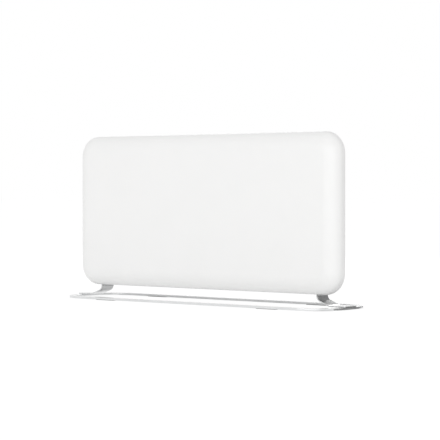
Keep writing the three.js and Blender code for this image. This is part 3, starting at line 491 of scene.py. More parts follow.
def copies_at(tree, points, shape):
    """A copy of a shape on each point."""
    return step(tree, "GeometryNodeInstanceOnPoints", {"Points": points, "Instance": shape})


def at_corners(tree, given, shape):
    """Four copies of a shape, at the corners of a rectangle in XY."""
    corners = step(tree, "GeometryNodeMeshGrid", {
        "Size X": given["Spread X"], "Size Y": given["Spread Y"], "Vertices X": 2, "Vertices Y": 2})
    return copies_at(tree, corners, shape)


def rectangle(tree, width, height):
    return step(tree, "GeometryNodeCurvePrimitiveQuadrilateral", {"Width": width, "Height": height})


def cylinder(tree, vertices, radius, depth):
    return step(tree, "GeometryNodeMeshCylinder",
                {"Vertices": vertices, "Radius": radius, "Depth": depth})


def filleted(tree, curve, radius, count):
    """A curve with its corners rounded, each by so many points."""
    return step(tree, "GeometryNodeFilletCurve",
                {"Curve": curve, "Radius": radius, "Count": count}, mode="POLY")


def close_tree(tree, geometry, finish):
    """End a tree: realise the copies and set the material."""
    real = step(tree, "GeometryNodeRealizeInstances", {"Geometry": geometry})
    painted = step(tree, "GeometryNodeSetMaterial", {"Geometry": real, "Material": finish})
    tree.links.new(painted, tree.nodes.new("NodeGroupOutput").inputs[0])
    return tree


def grow(name, tree, sizes):
    """Run a tree with these sizes and keep its result as a plain mesh."""
    thing = object_from(name, bpy.data.meshes.new(name))
    modifier = thing.modifiers.new("grow", "NODES")
    modifier.node_group = tree
    for item in tree.interface.items_tree:
        if item.in_out == "INPUT" and item.name in sizes:
            modifier[item.identifier] = sizes[item.name]
    return settle(thing)


def moved(thing, offset, turn_x=0.0):
    """Turn a piece about X, then move it, in its mesh."""
    thing.data.transform(Matrix.Translation(Vector(offset)) @ Matrix.Rotation(turn_x, 4, "X"))
    return thing


# %% Slot rows
# A row of round-ended cutters along X. Each cutter runs along Y.
ROUND_END = 0.499
tree, given = new_tree("slot_row", {
    "Count": 10, "Pitch": 0.03, "Length": 0.03, "Width": 0.005, "Depth": 0.01})
narrow = maths(tree, "MINIMUM", given["Width"], given["Length"])
rounded = filleted(tree, rectangle(tree, given["Width"], given["Length"]),
                   maths(tree, "MULTIPLY", narrow, ROUND_END), 6)
start, end = [vector(tree, y=maths(tree, "MULTIPLY", given["Depth"], share)) for share in (-0.5, 0.5)]
path = step(tree, "GeometryNodeCurvePrimitiveLine", {"Start": start, "End": end})
punch = step(tree, "GeometryNodeCurveToMesh",
             {"Curve": path, "Profile Curve": rounded, "Fill Caps": True})
gaps = maths(tree, "SUBTRACT", given["Count"], 1)
first = maths(tree, "MULTIPLY", maths(tree, "MULTIPLY", gaps, given["Pitch"]), -0.5)
row = step(tree, "GeometryNodeMeshLine", {
    "Count": given["Count"], "Start Location": vector(tree, x=first),
    "Offset": vector(tree, x=given["Pitch"])})
slot_row = close_tree(tree, copies_at(tree, row, punch), finishes["white_paint"])
print("tree:", slot_row.name)

# %% Round holes
# Four round cutters at the corners of a rectangle in XY, along Z.
tree, given = new_tree("hole_pattern", {
    "Spread X": 0.1, "Spread Y": 0.1, "Radius": 0.002, "Depth": 0.01})
hole = cylinder(tree, 24, given["Radius"], given["Depth"])
hole_pattern = close_tree(tree, at_corners(tree, given, hole), finishes["white_paint"])
print("tree:", hole_pattern.name)

# %% [markdown]
# ## The front shell
# One steel sheet, pressed into a shallow pan: a flat face, a wide shallow roll at the
# edge, a short side wall and a lip turned in at the back. The loft runs over the
# outside, round the lip and back along the inside, so the sheet has its real
# thickness. A spare ring just inside the roll keeps the shading of the flat face flat.

# %% Front shell
PAINTED_SHEET = 1.0 * MM
FACE_ROLL_WIDTH = 46 * MM
FACE_ROLL_DEPTH = 30 * MM
REAR_ROLL_WIDTH = 12 * MM
REAR_ROLL_DEPTH = 9 * MM
LIP_INSET = 40 * MM
FLAT_MARGIN = 4 * MM

face_y, shell_back = shell_low.y, shell_high.y
roll_y = face_y + FACE_ROLL_DEPTH
front_rings = [
    case_ring(FACE_ROLL_WIDTH + FLAT_MARGIN, face_y),
    *rolled_edge(FACE_ROLL_WIDTH, face_y, 0.0, roll_y, 18, True),
    *rolled_edge(0.0, shell_back - REAR_ROLL_DEPTH, REAR_ROLL_WIDTH, shell_back, 8, False),
    case_ring(LIP_INSET, shell_back),
    case_ring(LIP_INSET, shell_back - PAINTED_SHEET),
    *rolled_edge(REAR_ROLL_WIDTH, shell_back - PAINTED_SHEET,
                 PAINTED_SHEET, shell_back - REAR_ROLL_DEPTH, 6, True),
    *rolled_edge(PAINTED_SHEET, roll_y, FACE_ROLL_WIDTH, face_y + PAINTED_SHEET, 10, False),
    case_ring(FACE_ROLL_WIDTH + FLAT_MARGIN, face_y + PAINTED_SHEET),
]
front_shell = loft("front_shell", front_rings)

STRAP_THICKNESS = 3 * MM
STRAP_CLEARANCE = 0.6 * MM


def strap_slot(node):
    """The slot that a strap comes through, in the underside of the case."""
    low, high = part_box(node)
    left = low.x if low.x > 0 else high.x - STRAP_THICKNESS
    right = left + STRAP_THICKNESS
    return block("strap_slot",
                 (left - STRAP_CLEARANCE, low.y - STRAP_CLEARANCE, 0.0),
                 (right + STRAP_CLEARANCE, high.y + STRAP_CLEARANCE, high.z + STRAP_CLEARANCE))


combine(front_shell, "DIFFERENCE", strap_slot("leg_left"), strap_slot("leg_right"))
finish_piece(front_shell, "front_panel")

# %% [markdown]
# ## The back cover
# A shallower pan of thinner sheet that closes the case from behind, with a flange all
# round. Warm air leaves through slots in its top wall and its back, and cool air comes
# in through the slots low down and in the bottom wall. The loft gives the pan, and the
# cutters made by Geometry Nodes punch it.

# %% Back cover
COVER_SHEET = 0.8 * MM
COVER_FLANGE = 8 * MM
COVER_ROLL = 8 * MM
flange_y, back_y = cover_low.y, cover_high.y
wall_inset = cover_low.x - shell_low.x + COVER_FLANGE
roll_inset = wall_inset + COVER_ROLL
cover_rings = [
    case_ring(roll_inset + FLAT_MARGIN, back_y),
    *rolled_edge(roll_inset, back_y, wall_inset, back_y - COVER_ROLL, 8, True),
    case_ring(wall_inset, flange_y + COVER_SHEET),
    case_ring(wall_inset - COVER_FLANGE, flange_y + COVER_SHEET),
    case_ring(wall_inset - COVER_FLANGE, flange_y),
    case_ring(wall_inset + COVER_SHEET, flange_y),
    *rolled_edge(wall_inset + COVER_SHEET, back_y - COVER_ROLL,
                 roll_inset, back_y - COVER_SHEET, 6, False),
    case_ring(roll_inset + FLAT_MARGIN, back_y - COVER_SHEET),
]
back_cover = loft("back_cover", cover_rings)
wall_top = shell_high.z - wall_inset
wall_bottom = shell_low.z + wall_inset
print("cover walls at", round(wall_bottom, 4), "and", round(wall_top, 4))

# %% Punch the back cover
SLOT_WIDTH = 5 * MM
PUNCH_DEPTH = 6 * MM
BACK_SLOT_LENGTH = 30 * MM
BACK_SLOT_MARGIN = 18 * MM
WALL_SLOT_LENGTH = 36 * MM
BACK_SLOTS = {"Count": 18, "Pitch": 36 * MM, "Length": BACK_SLOT_LENGTH,
              "Width": SLOT_WIDTH, "Depth": PUNCH_DEPTH}
WALL_SLOTS = {"Count": 16, "Pitch": 46 * MM, "Length": SLOT_WIDTH,
              "Width": WALL_SLOT_LENGTH, "Depth": PUNCH_DEPTH}
back_slot_inset = COVER_ROLL + BACK_SLOT_MARGIN + BACK_SLOT_LENGTH / 2
wall_slot_y = (flange_y + COVER_SHEET + back_y - COVER_ROLL) / 2

cutters = [
    moved(grow("high_slots", slot_row, BACK_SLOTS), (0.0, back_y, wall_top - back_slot_inset)),
    moved(grow("low_slots", slot_row, BACK_SLOTS), (0.0, back_y, wall_bottom + back_slot_inset)),
    moved(grow("top_slots", slot_row, WALL_SLOTS), (0.0, wall_slot_y, wall_top), math.pi / 2),
    moved(grow("bottom_slots", slot_row, WALL_SLOTS), (0.0, wall_slot_y, wall_bottom), math.pi / 2),
]
print("slot cutters:", sum(len(cutter.data.polygons) for cutter in cutters), "faces")

# %% Cut the openings for the straps, the controls, the cord inlet and the screws
HANDS = ("left", "right")
BEZEL_LAP = 9 * MM
HOLE_CLEARANCE = 0.3 * MM
SHANK_RADIUS = 1.8 * MM
INLET_BODY_RADIUS = 7.5 * MM
FLANGE_PUNCH_DEPTH = 4 * MM
bracket_screws, foot_screws = [[f"{kind}_screw_{hand}_{i}" for hand in HANDS for i in (1, 2)]
                               for kind in ("bracket", "foot")]
cover_screws = [f"cover_screw_{i}" for i in range(1, 5)]


def middle_of(node):
    """The middle of a CAD node's box."""
    low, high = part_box(node)
    return (low + high) / 2


def place_of(screws, axis):
    """The middle of four screws, and how far apart they stand along X and another axis."""
    first, second, third, last = [middle_of(screw) for screw in screws]
    spread = {"Spread X": abs(first.x - third.x), "Spread Y": abs(first[axis] - second[axis])}
    return (first + last) / 2, spread


bracket_place = place_of(bracket_screws, 2)
cover_place = place_of(cover_screws, 2)
foot_place = place_of(foot_screws, 1)


def screw_holes(name, place, y, depth):
    """Cutters for four screws in the back, from their place."""
    centre, spread = place
    sizes = spread | {"Radius": SHANK_RADIUS + HOLE_CLEARANCE, "Depth": depth}
    return moved(grow(name, hole_pattern, sizes), (centre.x, y, centre.z), -math.pi / 2)


bezel_low, bezel_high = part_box("control_bezel")
inlet_middle = middle_of("cord_inlet")
inlet_hole = INLET_BODY_RADIUS + HOLE_CLEARANCE
punch_front, punch_back = back_y - PUNCH_DEPTH, back_y + PUNCH_DEPTH
cutters += [
    block("window", (bezel_low.x + BEZEL_LAP, punch_front, bezel_low.z + BEZEL_LAP),
          (bezel_high.x - BEZEL_LAP, punch_back, bezel_high.z - BEZEL_LAP)),
    turned("gland", [(0.0, punch_front), (inlet_hole, punch_front),
                     (inlet_hole, punch_back), (0.0, punch_back)],
           (inlet_middle.x, 0.0, inlet_middle.z)),
    screw_holes("bracket_holes", bracket_place, back_y, PUNCH_DEPTH),
    screw_holes("cover_holes", cover_place, flange_y, FLANGE_PUNCH_DEPTH),
    strap_slot("leg_left"), strap_slot("leg_right"),
]
combine(back_cover, "DIFFERENCE", *cutters)
finish_piece(back_cover, "rear_cover")

# %% [markdown]
# ## The loop
# One flat steel bar bent into a long loop with round ends, lying flat. A bar that
# follows a path is what Curve to Mesh is for: the path is a rectangle with its corners
# filleted, and the section is the bar's own, with its long edges eased. The tree also
# stores how far along the bar and how far round its section each point lies. The steel
# reads both, so that its brushing follows the bends.

# %% The loop's tree
loop_low, loop_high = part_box("base_frame")
LOOP_SIZES = {
    "Length": loop_high.x - loop_low.x, "Depth": loop_high.y - loop_low.y,
    "Corner Radius": 95 * MM, "Bar Width": 20 * MM, "Bar Thickness": loop_high.z - loop_low.z,
    "Eased Edge": 0.8 * MM, "Bottom": loop_low.z}
tree, given = new_tree("bar_loop", LOOP_SIZES)
half_bar = maths(tree, "MULTIPLY", given["Bar Width"], 0.5)
outline = rectangle(tree, maths(tree, "SUBTRACT", given["Length"], given["Bar Width"]),
                    maths(tree, "SUBTRACT", given["Depth"], given["Bar Width"]))
path = filleted(tree, outline, maths(tree, "SUBTRACT", given["Corner Radius"], half_bar), 40)
eased = filleted(tree, rectangle(tree, given["Bar Width"], given["Bar Thickness"]),
                 given["Eased Edge"], 3)
distance = step(tree, "GeometryNodeSplineParameter", {}, "Length")
path, eased = [step(tree, "GeometryNodeStoreNamedAttribute",
                    {"Geometry": curve, "Name": label, "Value": distance})
               for curve, label in ((path, "along_bar"), (eased, "round_bar"))]
bar = step(tree, "GeometryNodeCurveToMesh", {"Curve": path, "Profile Curve": eased})
half_up = maths(tree, "MULTIPLY", given["Bar Thickness"], 0.5)
bar = lifted(tree, bar, maths(tree, "ADD", half_up, given["Bottom"]))
base_loop = grow("base_loop", close_tree(tree, bar, loop_steel), LOOP_SIZES)
print("loop:", len(base_loop.data.polygons), "faces, top at", round(loop_high.z, 4))

# %% Countersinks under the loop
FOOT_HEAD_RADIUS = 3.9 * MM
FOOT_SHANK_RADIUS = 1.9 * MM
SINK_EDGE = 1.1 * MM


def countersink(node):
    """A cutter for one screw under the loop: head, cone and shank."""
    middle = middle_of(node)
    head, shank = FOOT_HEAD_RADIUS + HOLE_CLEARANCE, FOOT_SHANK_RADIUS + HOLE_CLEARANCE
    above = loop_high.z + MM
    return turned("countersink", [
        (0.0, -MM), (head, -MM), (head, SINK_EDGE), (shank, SINK_EDGE + head - shank),
        (shank, above), (0.0, above)], (middle.x, middle.y, loop_low.z), axis="Z")


combine(base_loop, "DIFFERENCE", *[countersink(node) for node in foot_screws])
finish_piece(base_loop, "base_frame", finish=loop_steel)

# %% [markdown]
# ## The straps
# Each leg is a flat bar, 48 mm wide, that comes down out of the case, bends outward,
# falls gently and lies along the end of the loop. Its side view is one line with two
# bends, given thickness. It is drawn as runs and bends, the way a press brake is set,
# and then extruded across its width. Bevel eases its long edges.

# %% Straps
STRAP_BEND_TOP = 35 * MM
STRAP_BEND_RADIUS = 16.5 * MM
STRAP_FOOT_RADIUS = 40 * MM
STRAP_FALL = math.radians(21)
STRAP_EASE = 0.5 * MM
BEND_STEPS = 14


def bent_outline(start, angle, thickness, moves):
    """Both faces of a bent bar: runs are (length,), bends are (radius, turn)."""
    x, z = start
    outside, inside = [], []

    def put():
        outside.append((x, z))
        inside.append((x - thickness * math.sin(angle), z + thickness * math.cos(angle)))

    put()
    for move in moves:
        if len(move) == 1:
            x += move[0] * math.cos(angle)
            z += move[0] * math.sin(angle)
            put()
            continue
        radius, turn = move
        centre_x = x - radius * math.sin(angle)
        centre_z = z + radius * math.cos(angle)
        first = angle
        for i in range(1, BEND_STEPS + 1):
            angle = first + turn * i / BEND_STEPS
            x = centre_x + radius * math.sin(angle)
            z = centre_z - radius * math.cos(angle)
            put()
    return outside + inside[::-1]


def strap(node, side):
    """One strap, drawn for the right-hand side and mirrored where side is -1."""
    low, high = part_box(node)
    inner_x = low.x if side > 0 else -high.x
    outer_x = high.x if side > 0 else -low.x
    first_turn = math.pi / 2 - STRAP_FALL
    ramp_z = STRAP_BEND_TOP - STRAP_BEND_RADIUS * math.sin(first_turn)
    ramp_x = inner_x + STRAP_BEND_RADIUS * (1 - math.cos(first_turn))
    foot_drop = STRAP_FOOT_RADIUS * (1 - math.cos(STRAP_FALL))
    ramp = (ramp_z - low.z - foot_drop) / math.sin(STRAP_FALL)
    foot_x = ramp_x + ramp * math.cos(STRAP_FALL) + STRAP_FOOT_RADIUS * math.sin(STRAP_FALL)
    outline = bent_outline((inner_x, high.z), -math.pi / 2, STRAP_THICKNESS, [
        (high.z - STRAP_BEND_TOP,), (STRAP_BEND_RADIUS, first_turn), (ramp,),
        (STRAP_FOOT_RADIUS, STRAP_FALL), (outer_x - foot_x,)])
    sides = [[(side * x, y, z) for x, z in outline] for y in (low.y, high.y)]
    return soften(loft("strap_" + node.split("_")[1], sides), STRAP_EASE)


for node, side in (("leg_left", -1), ("leg_right", 1)):
    finish_piece(strap(node, side), node)

# %% [markdown]
# ## Soft edges on moulded pieces
# The bezel, the switches, the rockers and the foot pads have the right shape already,
# but a moulded edge is never a knife edge. A copy of the CAD mesh is merged, its flat
# faces are joined up again, and Bevel rounds what is still sharp.

# %% Moulded pieces
def softened_copy(node, name, width, segments=2):
    """A copy of a CAD piece with its flat faces joined up and its edges rounded."""
    def join_up(shape):
        bmesh.ops.remove_doubles(shape, verts=shape.verts, dist=2e-6)
        bmesh.ops.dissolve_limit(shape, angle_limit=math.radians(1.0),
                                 verts=shape.verts, edges=shape.edges)

    mesh = frame["nodes"][node].data.copy()
    mesh.name = name
    return soften(object_from(name, cleaned(mesh, join_up)), width, segments)


finish_piece(softened_copy("control_bezel", "bezel", 0.6 * MM), "control_bezel")
for level in ("low", "high"):
    surround = softened_copy("rocker_switch_body_" + level, "switch_surround_" + level, 0.3 * MM)
    finish_piece(surround, "rocker_switch_body_" + level)
    paddle = softened_copy("rocker_" + level, "rocker_paddle_" + level, 0.5 * MM, 3)
    finish_piece(paddle, "rocker_" + level)
for end in ("front", "rear"):
    for hand in HANDS:
        pad = softened_copy(f"foot_pad_{end}_{hand}", f"pad_{end}_{hand}", 0.3 * MM)
        finish_piece(pad, f"foot_pad_{end}_{hand}")

# %% [markdown]
# ## Screws
# Four pan-head screws hold the cover's flange, four hold the brackets of the straps,
# and four countersunk ones come up through the loop into the straps. A screw is a body
# of revolution with a cross recess. Geometry Nodes build one of each kind, with its
# sizes as inputs, and set copies out at the corners of a rectangle.

# %% Helpers for screws
RECESS_SIZES = {"Spread X": 0.1, "Spread Y": 0.1, "Recess Width": 0.0008,
                "Recess Length": 0.0036, "Recess Depth": 0.0011}
ARM_HEIGHT = 0.004
CUT_OFF = 0.1
SHANK_IN_HEAD = 0.3


def joined(tree, meshes):
    """One solid from several that overlap."""
    return step(tree, "GeometryNodeMeshBoolean", {"Mesh 2": meshes}, operation="UNION", solver="EXACT")


def carved(tree, whole, cutters):
    """A solid with others cut out of it."""
    return step(tree, "GeometryNodeMeshBoolean", {"Mesh 1": whole, "Mesh 2": cutters},
                operation="DIFFERENCE", solver="EXACT")


def close_screws(tree, given, whole, face):
    """Cut a cross recess into a screw's face, set out four copies, and end the tree."""
    recess_z = maths(tree, "SUBTRACT", face, given["Recess Depth"])
    middle_z = maths(tree, "ADD", recess_z, ARM_HEIGHT / 2)
    length, width = given["Recess Length"], given["Recess Width"]
    arms = []
    for size_x, size_y in ((length, width), (width, length)):
        arm = step(tree, "GeometryNodeMeshCube", {"Size": vector(tree, size_x, size_y, ARM_HEIGHT)})
        arms.append(lifted(tree, arm, middle_z))
    screws = at_corners(tree, given, carved(tree, whole, arms))
    return close_tree(tree, screws, finishes["zinc_steel"])


print("screw sizes:", ", ".join(RECESS_SIZES))

# %% Pan-head screws
# Their heads point towards +Z.
tree, given = new_tree("screw_pattern", RECESS_SIZES | {
    "Head Radius": 0.0036, "Head Height": 0.002, "Shank Radius": 0.0018, "Shank Length": 0.009})
ball = step(tree, "GeometryNodeMeshUVSphere", {"Segments": 32, "Rings": 24, "Radius": 1.0})
dome = step(tree, "GeometryNodeTransform", {"Geometry": ball, "Scale": vector(
    tree, given["Head Radius"], given["Head Radius"], given["Head Height"])})
below = step(tree, "GeometryNodeMeshCube", {"Size": (CUT_OFF, CUT_OFF, CUT_OFF)})
head = carved(tree, dome, lifted(tree, below, -CUT_OFF / 2))
shank = cylinder(tree, 24, given["Shank Radius"], given["Shank Length"])
drop = maths(tree, "SUBTRACT", maths(tree, "MULTIPLY", given["Head Height"], SHANK_IN_HEAD),
             maths(tree, "MULTIPLY", given["Shank Length"], 0.5))
whole = joined(tree, [head, lifted(tree, shank, drop)])
screw_pattern = close_screws(tree, given, whole, given["Head Height"])
print("tree:", screw_pattern.name)

# %% Countersunk screws
# Their flat faces lie at z = 0 and look towards +Z.
tree, given = new_tree("countersunk_pattern", RECESS_SIZES | {
    "Head Radius": 0.0039, "Head Edge": 0.0005, "Shank Radius": 0.0019, "Length": 0.008})
head, shank, edge = given["Head Radius"], given["Shank Radius"], given["Head Edge"]
cone = maths(tree, "SUBTRACT", head, shank)
rest = maths(tree, "SUBTRACT", given["Length"], edge)
sections = []
for radius_top, radius_bottom, top, depth in (
        (head, head, 0.0, edge), (head, shank, edge, cone), (shank, shank, edge, rest)):
    section = step(tree, "GeometryNodeMeshCone", {
        "Vertices": 32, "Radius Top": radius_top, "Radius Bottom": radius_bottom, "Depth": depth})
    drop = maths(tree, "MULTIPLY", maths(tree, "ADD", top, depth), -1.0)
    sections.append(lifted(tree, section, drop))
countersunk_pattern = close_screws(tree, given, joined(tree, sections), 0.0)
print("tree:", countersunk_pattern.name)

# %% Set the screws
SEAT_GAP = 0.3 * MM


def back_screws(name, nodes, place, seat_y, length):
    """Four screws driven from behind, their heads on the plane at seat_y."""
    centre, spread = place
    thing = grow(name, screw_pattern, spread | {"Head Height": 1.7 * MM, "Shank Length": length})
    moved(thing, (centre.x, seat_y + SEAT_GAP, centre.z), -math.pi / 2)
    finish_piece(thing, *nodes)


back_screws("cover_screws", cover_screws, cover_place, flange_y + COVER_SHEET, 9 * MM)
back_screws("bracket_screws", bracket_screws, bracket_place, back_y, 6.3 * MM)

foot_low, foot_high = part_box(foot_screws[0])
foot_middle, foot_spread = foot_place
loop_screws = grow("loop_screws", countersunk_pattern, foot_spread | {
    "Head Radius": FOOT_HEAD_RADIUS, "Shank Radius": FOOT_SHANK_RADIUS,
    "Length": foot_high.z - foot_low.z})
moved(loop_screws, (foot_middle.x, foot_middle.y, foot_low.z), math.pi)
finish_piece(loop_screws, *foot_screws)

# %% [markdown]
# ## The thermostat knob
# A plastic knob with a shallow dish and a raised grip bar across it. It is turned from
# its profile, and a ring of cutters from Geometry Nodes makes the flutes round its
# skirt. The knob and its shaft are one body in the frame, so they turn together.

# %% Flute cutters
# Round cutters standing in a ring about the Z axis.
tree, given = new_tree("flute_ring", {
    "Count": 24, "Ring Radius": 0.019, "Flute Radius": 0.001, "Height": 0.01})
ring = step(tree, "GeometryNodeMeshCircle", {"Vertices": given["Count"], "Radius": given["Ring Radius"]})
flute = cylinder(tree, 12, given["Flute Radius"], given["Height"])
flute_ring = close_tree(tree, copies_at(tree, ring, flute), finishes["white_plastic"])
print("tree:", flute_ring.name)

# %% Knob
knob_low, knob_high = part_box("thermostat_knob")
knob_middle = middle_of("thermostat_knob")
KNOB_RADIUS = (knob_high.x - knob_low.x) / 2
KNOB_DISH = 2.5 * MM
KNOB_BORE = 3.3 * MM
KNOB_CAP = 3.5 * MM
KNOB_RIM = 6 * MM
KNOB_BACK_EDGE = 1 * MM
KNOB_FRONT_EDGE = 2 * MM
GRIP_WIDTH = 4.4 * MM


def knob_profile():
    """From the bore, out along the back, up the skirt and over the rim to the dish."""
    back, front = knob_low.y, knob_high.y
    dish = front - KNOB_DISH
    inside_rim = KNOB_RADIUS - KNOB_RIM
    skirt = KNOB_RADIUS - KNOB_BACK_EDGE
    return [
        (KNOB_BORE, back), (skirt, back),
        *quarter_arc((skirt, back + KNOB_BACK_EDGE), (KNOB_BACK_EDGE, KNOB_BACK_EDGE), -90, first=1),
        *quarter_arc((skirt - KNOB_FRONT_EDGE, front - KNOB_FRONT_EDGE),
                     (KNOB_FRONT_EDGE, KNOB_FRONT_EDGE), 0),
        (inside_rim + 1.2 * MM, front), (inside_rim + 0.4 * MM, front - 0.4 * MM),
        (inside_rim, dish + 0.6 * MM), (inside_rim - 0.6 * MM, dish), (0.0, dish),
        (0.0, dish - KNOB_CAP), (KNOB_BORE, dish - KNOB_CAP), (KNOB_BORE, back)]


knob = turned("knob", knob_profile(), (knob_middle.x, 0.0, knob_middle.z), 96)
flutes = grow("flutes", flute_ring, {
    "Count": 30, "Ring Radius": KNOB_RADIUS + 0.35 * MM, "Flute Radius": 1.1 * MM, "Height": 9 * MM})
moved(flutes, (knob_middle.x, knob_low.y + 6.5 * MM, knob_middle.z), math.pi / 2)
combine(knob, "DIFFERENCE", flutes)
grip_half = KNOB_RADIUS - KNOB_RIM + MM
grip_reach = Vector((GRIP_WIDTH / 2, 0.0, grip_half))
grip_back, grip_front = knob_high.y - KNOB_DISH - MM, knob_high.y - 0.3 * MM
grip_low, grip_high = knob_middle - grip_reach, knob_middle + grip_reach
grip = block("grip", (grip_low.x, grip_back, grip_low.z), (grip_high.x, grip_front, grip_high.z))
combine(knob, "UNION", soften(grip, 0.5 * MM, 3))
finish_piece(knob, "thermostat_knob")

# %% [markdown]
# ## Marks for the controls
# A ring of short raised ticks on the bezel shows how far the knob is turned. They are
# plain marks without numbers. An arc gives the points, and each tick is turned to face
# the knob's axis. The first tick is at the top, where the dark line on the grip points
# at rest, and the knob turns clockwise from there. One dot marks the switch for low
# heat and two mark the one for high heat. A slot as wide as it is long is a round dot,
# so the slot tree makes the dots and the line.

# %% Dial marks
# Ticks on an arc about the Z axis, each pointing at the axis.
TICK_HEIGHT = 0.25 * MM
TICK_SIZES = {
    "Count": 11, "Arc Radius": KNOB_RADIUS + 3.2 * MM, "Start": math.radians(90),
    "Sweep": math.radians(270), "Tick Length": 2.4 * MM, "Tick Width": 0.6 * MM,
    "Tick Height": TICK_HEIGHT * 2}
tree, given = new_tree("tick_arc", TICK_SIZES)
arc = step(tree, "GeometryNodeCurveArc", {
    "Resolution": given["Count"], "Radius": given["Arc Radius"],
    "Start Angle": given["Start"], "Sweep Angle": given["Sweep"]})
points = step(tree, "GeometryNodeCurveToPoints", {"Curve": arc}, mode="EVALUATED")
tick = step(tree, "GeometryNodeMeshCube", {"Size": vector(
    tree, given["Tick Length"], given["Tick Width"], given["Tick Height"])})
position = step(tree, "GeometryNodeInputPosition", {})
aim = step(tree, "FunctionNodeAlignRotationToVector", {"Vector": position}, axis="X")
ticks = step(tree, "GeometryNodeInstanceOnPoints", {"Points": points, "Instance": tick, "Rotation": aim})
marks = grow("dial_marks", close_tree(tree, ticks, finishes["white_plastic"]), TICK_SIZES)
moved(marks, (knob_middle.x, bezel_high.y, knob_middle.z), math.pi / 2)
finish_piece(marks, body="heater", slot="white_plastic")

# %% Pointer line and heat dots
POINTER_LENGTH = 7 * MM
POINTER_WIDTH = 1.3 * MM
DOT_WIDTH = 2.2 * MM
DOT_PITCH = 4.4 * MM
DOT_RISE = 5.5 * MM

pointer = grow("pointer", slot_row, {
    "Count": 1, "Length": POINTER_LENGTH, "Width": POINTER_WIDTH, "Depth": TICK_HEIGHT * 2})
pointer_z = knob_middle.z + grip_half - 2 * MM - POINTER_LENGTH / 2
moved(pointer, (knob_middle.x, knob_high.y - TICK_HEIGHT, pointer_z))
finish_piece(pointer, body="thermostat_dial", slot="dark_plastic")
for level, dots in (("low", 1), ("high", 2)):
    switch_low, switch_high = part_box("rocker_switch_body_" + level)
    dot_row = grow(level + "_heat_dots", slot_row, {
        "Count": dots, "Pitch": DOT_PITCH, "Length": DOT_WIDTH, "Width": DOT_WIDTH,
        "Depth": TICK_HEIGHT * 2})
    moved(dot_row, ((switch_low.x + switch_high.x) / 2, bezel_high.y, switch_high.z + DOT_RISE))
    finish_piece(dot_row, body="heater", slot="white_plastic")

# %% [markdown]
# ## Lamp and cord inlet
# Each is turned from its own profile, with enough steps to look round close up. The
# lamp is a small dome on a lip. The inlet is a collar with a hole for the cord and a
# flange against the cover.

# %% Turned pieces
lamp_low, lamp_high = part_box("pilot_lamp")
lamp_middle = middle_of("pilot_lamp")
LAMP_LIP = (lamp_high.x - lamp_low.x) / 2
LAMP_RADIUS = LAMP_LIP - 1.2 * MM
DOME_RADIUS = LAMP_RADIUS - 0.2 * MM
lamp_seat = bezel_high.y + SEAT_GAP
lip_top = lamp_seat + 1.2 * MM
lamp_profile = [
    (0.0, lamp_low.y), (LAMP_RADIUS, lamp_low.y), (LAMP_RADIUS, lamp_seat), (LAMP_LIP, lamp_seat),
    (LAMP_LIP, lip_top - 0.4 * MM), (LAMP_LIP - 0.3 * MM, lip_top), (DOME_RADIUS, lip_top),
    *quarter_arc((0.0, lip_top), (DOME_RADIUS, lamp_high.y - lip_top), 0, first=1)]
lamp = turned("lamp", lamp_profile, (lamp_middle.x, 0.0, lamp_middle.z), 40)
finish_piece(lamp, "pilot_lamp")

inlet_low, inlet_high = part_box("cord_inlet")
INLET_BORE = 4 * MM
INLET_FLANGE = (inlet_high.x - inlet_low.x) / 2
inlet_seat = back_y + SEAT_GAP
flange_top = inlet_seat + 2.5 * MM
inlet_profile = [
    (INLET_BORE, inlet_low.y), (INLET_BODY_RADIUS, inlet_low.y), (INLET_BODY_RADIUS, inlet_seat),
    (INLET_FLANGE - 0.5 * MM, inlet_seat), (INLET_FLANGE, inlet_seat + 0.5 * MM),
    (INLET_FLANGE, flange_top - 0.6 * MM), (INLET_FLANGE - 0.6 * MM, flange_top),
    (INLET_BODY_RADIUS + 0.8 * MM, flange_top), (INLET_BODY_RADIUS, flange_top + 1.0 * MM),
    (INLET_BORE + 2.0 * MM, inlet_high.y - 0.6 * MM), (INLET_BORE + 1.4 * MM, inlet_high.y),
    (INLET_BORE + 0.4 * MM, inlet_high.y), (INLET_BORE, inlet_high.y - 0.4 * MM),
    (INLET_BORE, inlet_low.y)]
inlet = turned("inlet", inlet_profile, (inlet_middle.x, 0.0, inlet_middle.z), 48)
finish_piece(inlet, "cord_inlet")

# %% [markdown]
# ## The studio
# The photograph has a plain white ground with hardly any shadow. The floor is a pale
# matte surface for the light that it throws back. Seen by the camera, or in a
# reflection, it is mostly glow, with a weak matte share that takes the object's shadow.
# The world is plain white to the camera, and lights everything softly, a little more
# from the right than from the left. A large lamp at the front makes the face a little
# brighter than the top and the edges. A small weak one behind throws the loop's shadow
# forwards.

# %% Floor
def seen_directly(tree):
    """1 for camera, glossy and transmission rays, 0 for the rays that carry light."""
    path = tree.nodes.new("ShaderNodeLightPath").outputs
    seen = path["Is Camera Ray"]
    for kind in ("Is Glossy Ray", "Is Transmission Ray"):
        seen = maths(tree, "MAXIMUM", seen, path[kind])
    return seen


def matte(tree, shade):
    """A plain matte grey."""
    return step(tree, "ShaderNodeBsdfDiffuse", {"Color": (shade, shade, shade, 1.0)})


FLOOR_BOUNCE = 0.97
FLOOR_SHADE = 0.30
FLOOR_GLOW = 0.79
FLOOR_HALF = 30.0
floor_material = bpy.data.materials.new("studio_floor")
floor_material.use_nodes = True
floor_tree = floor_material.node_tree
floor_tree.nodes.clear()
glow = step(floor_tree, "ShaderNodeEmission", {"Strength": FLOOR_GLOW})
white_ground = step(floor_tree, "ShaderNodeAddShader", {0: matte(floor_tree, FLOOR_SHADE), 1: glow})
chosen = step(floor_tree, "ShaderNodeMixShader", {
    "Fac": seen_directly(floor_tree), 1: matte(floor_tree, FLOOR_BOUNCE), 2: white_ground})
floor_out = floor_tree.nodes.new("ShaderNodeOutputMaterial")
floor_tree.links.new(chosen, floor_out.inputs["Surface"])

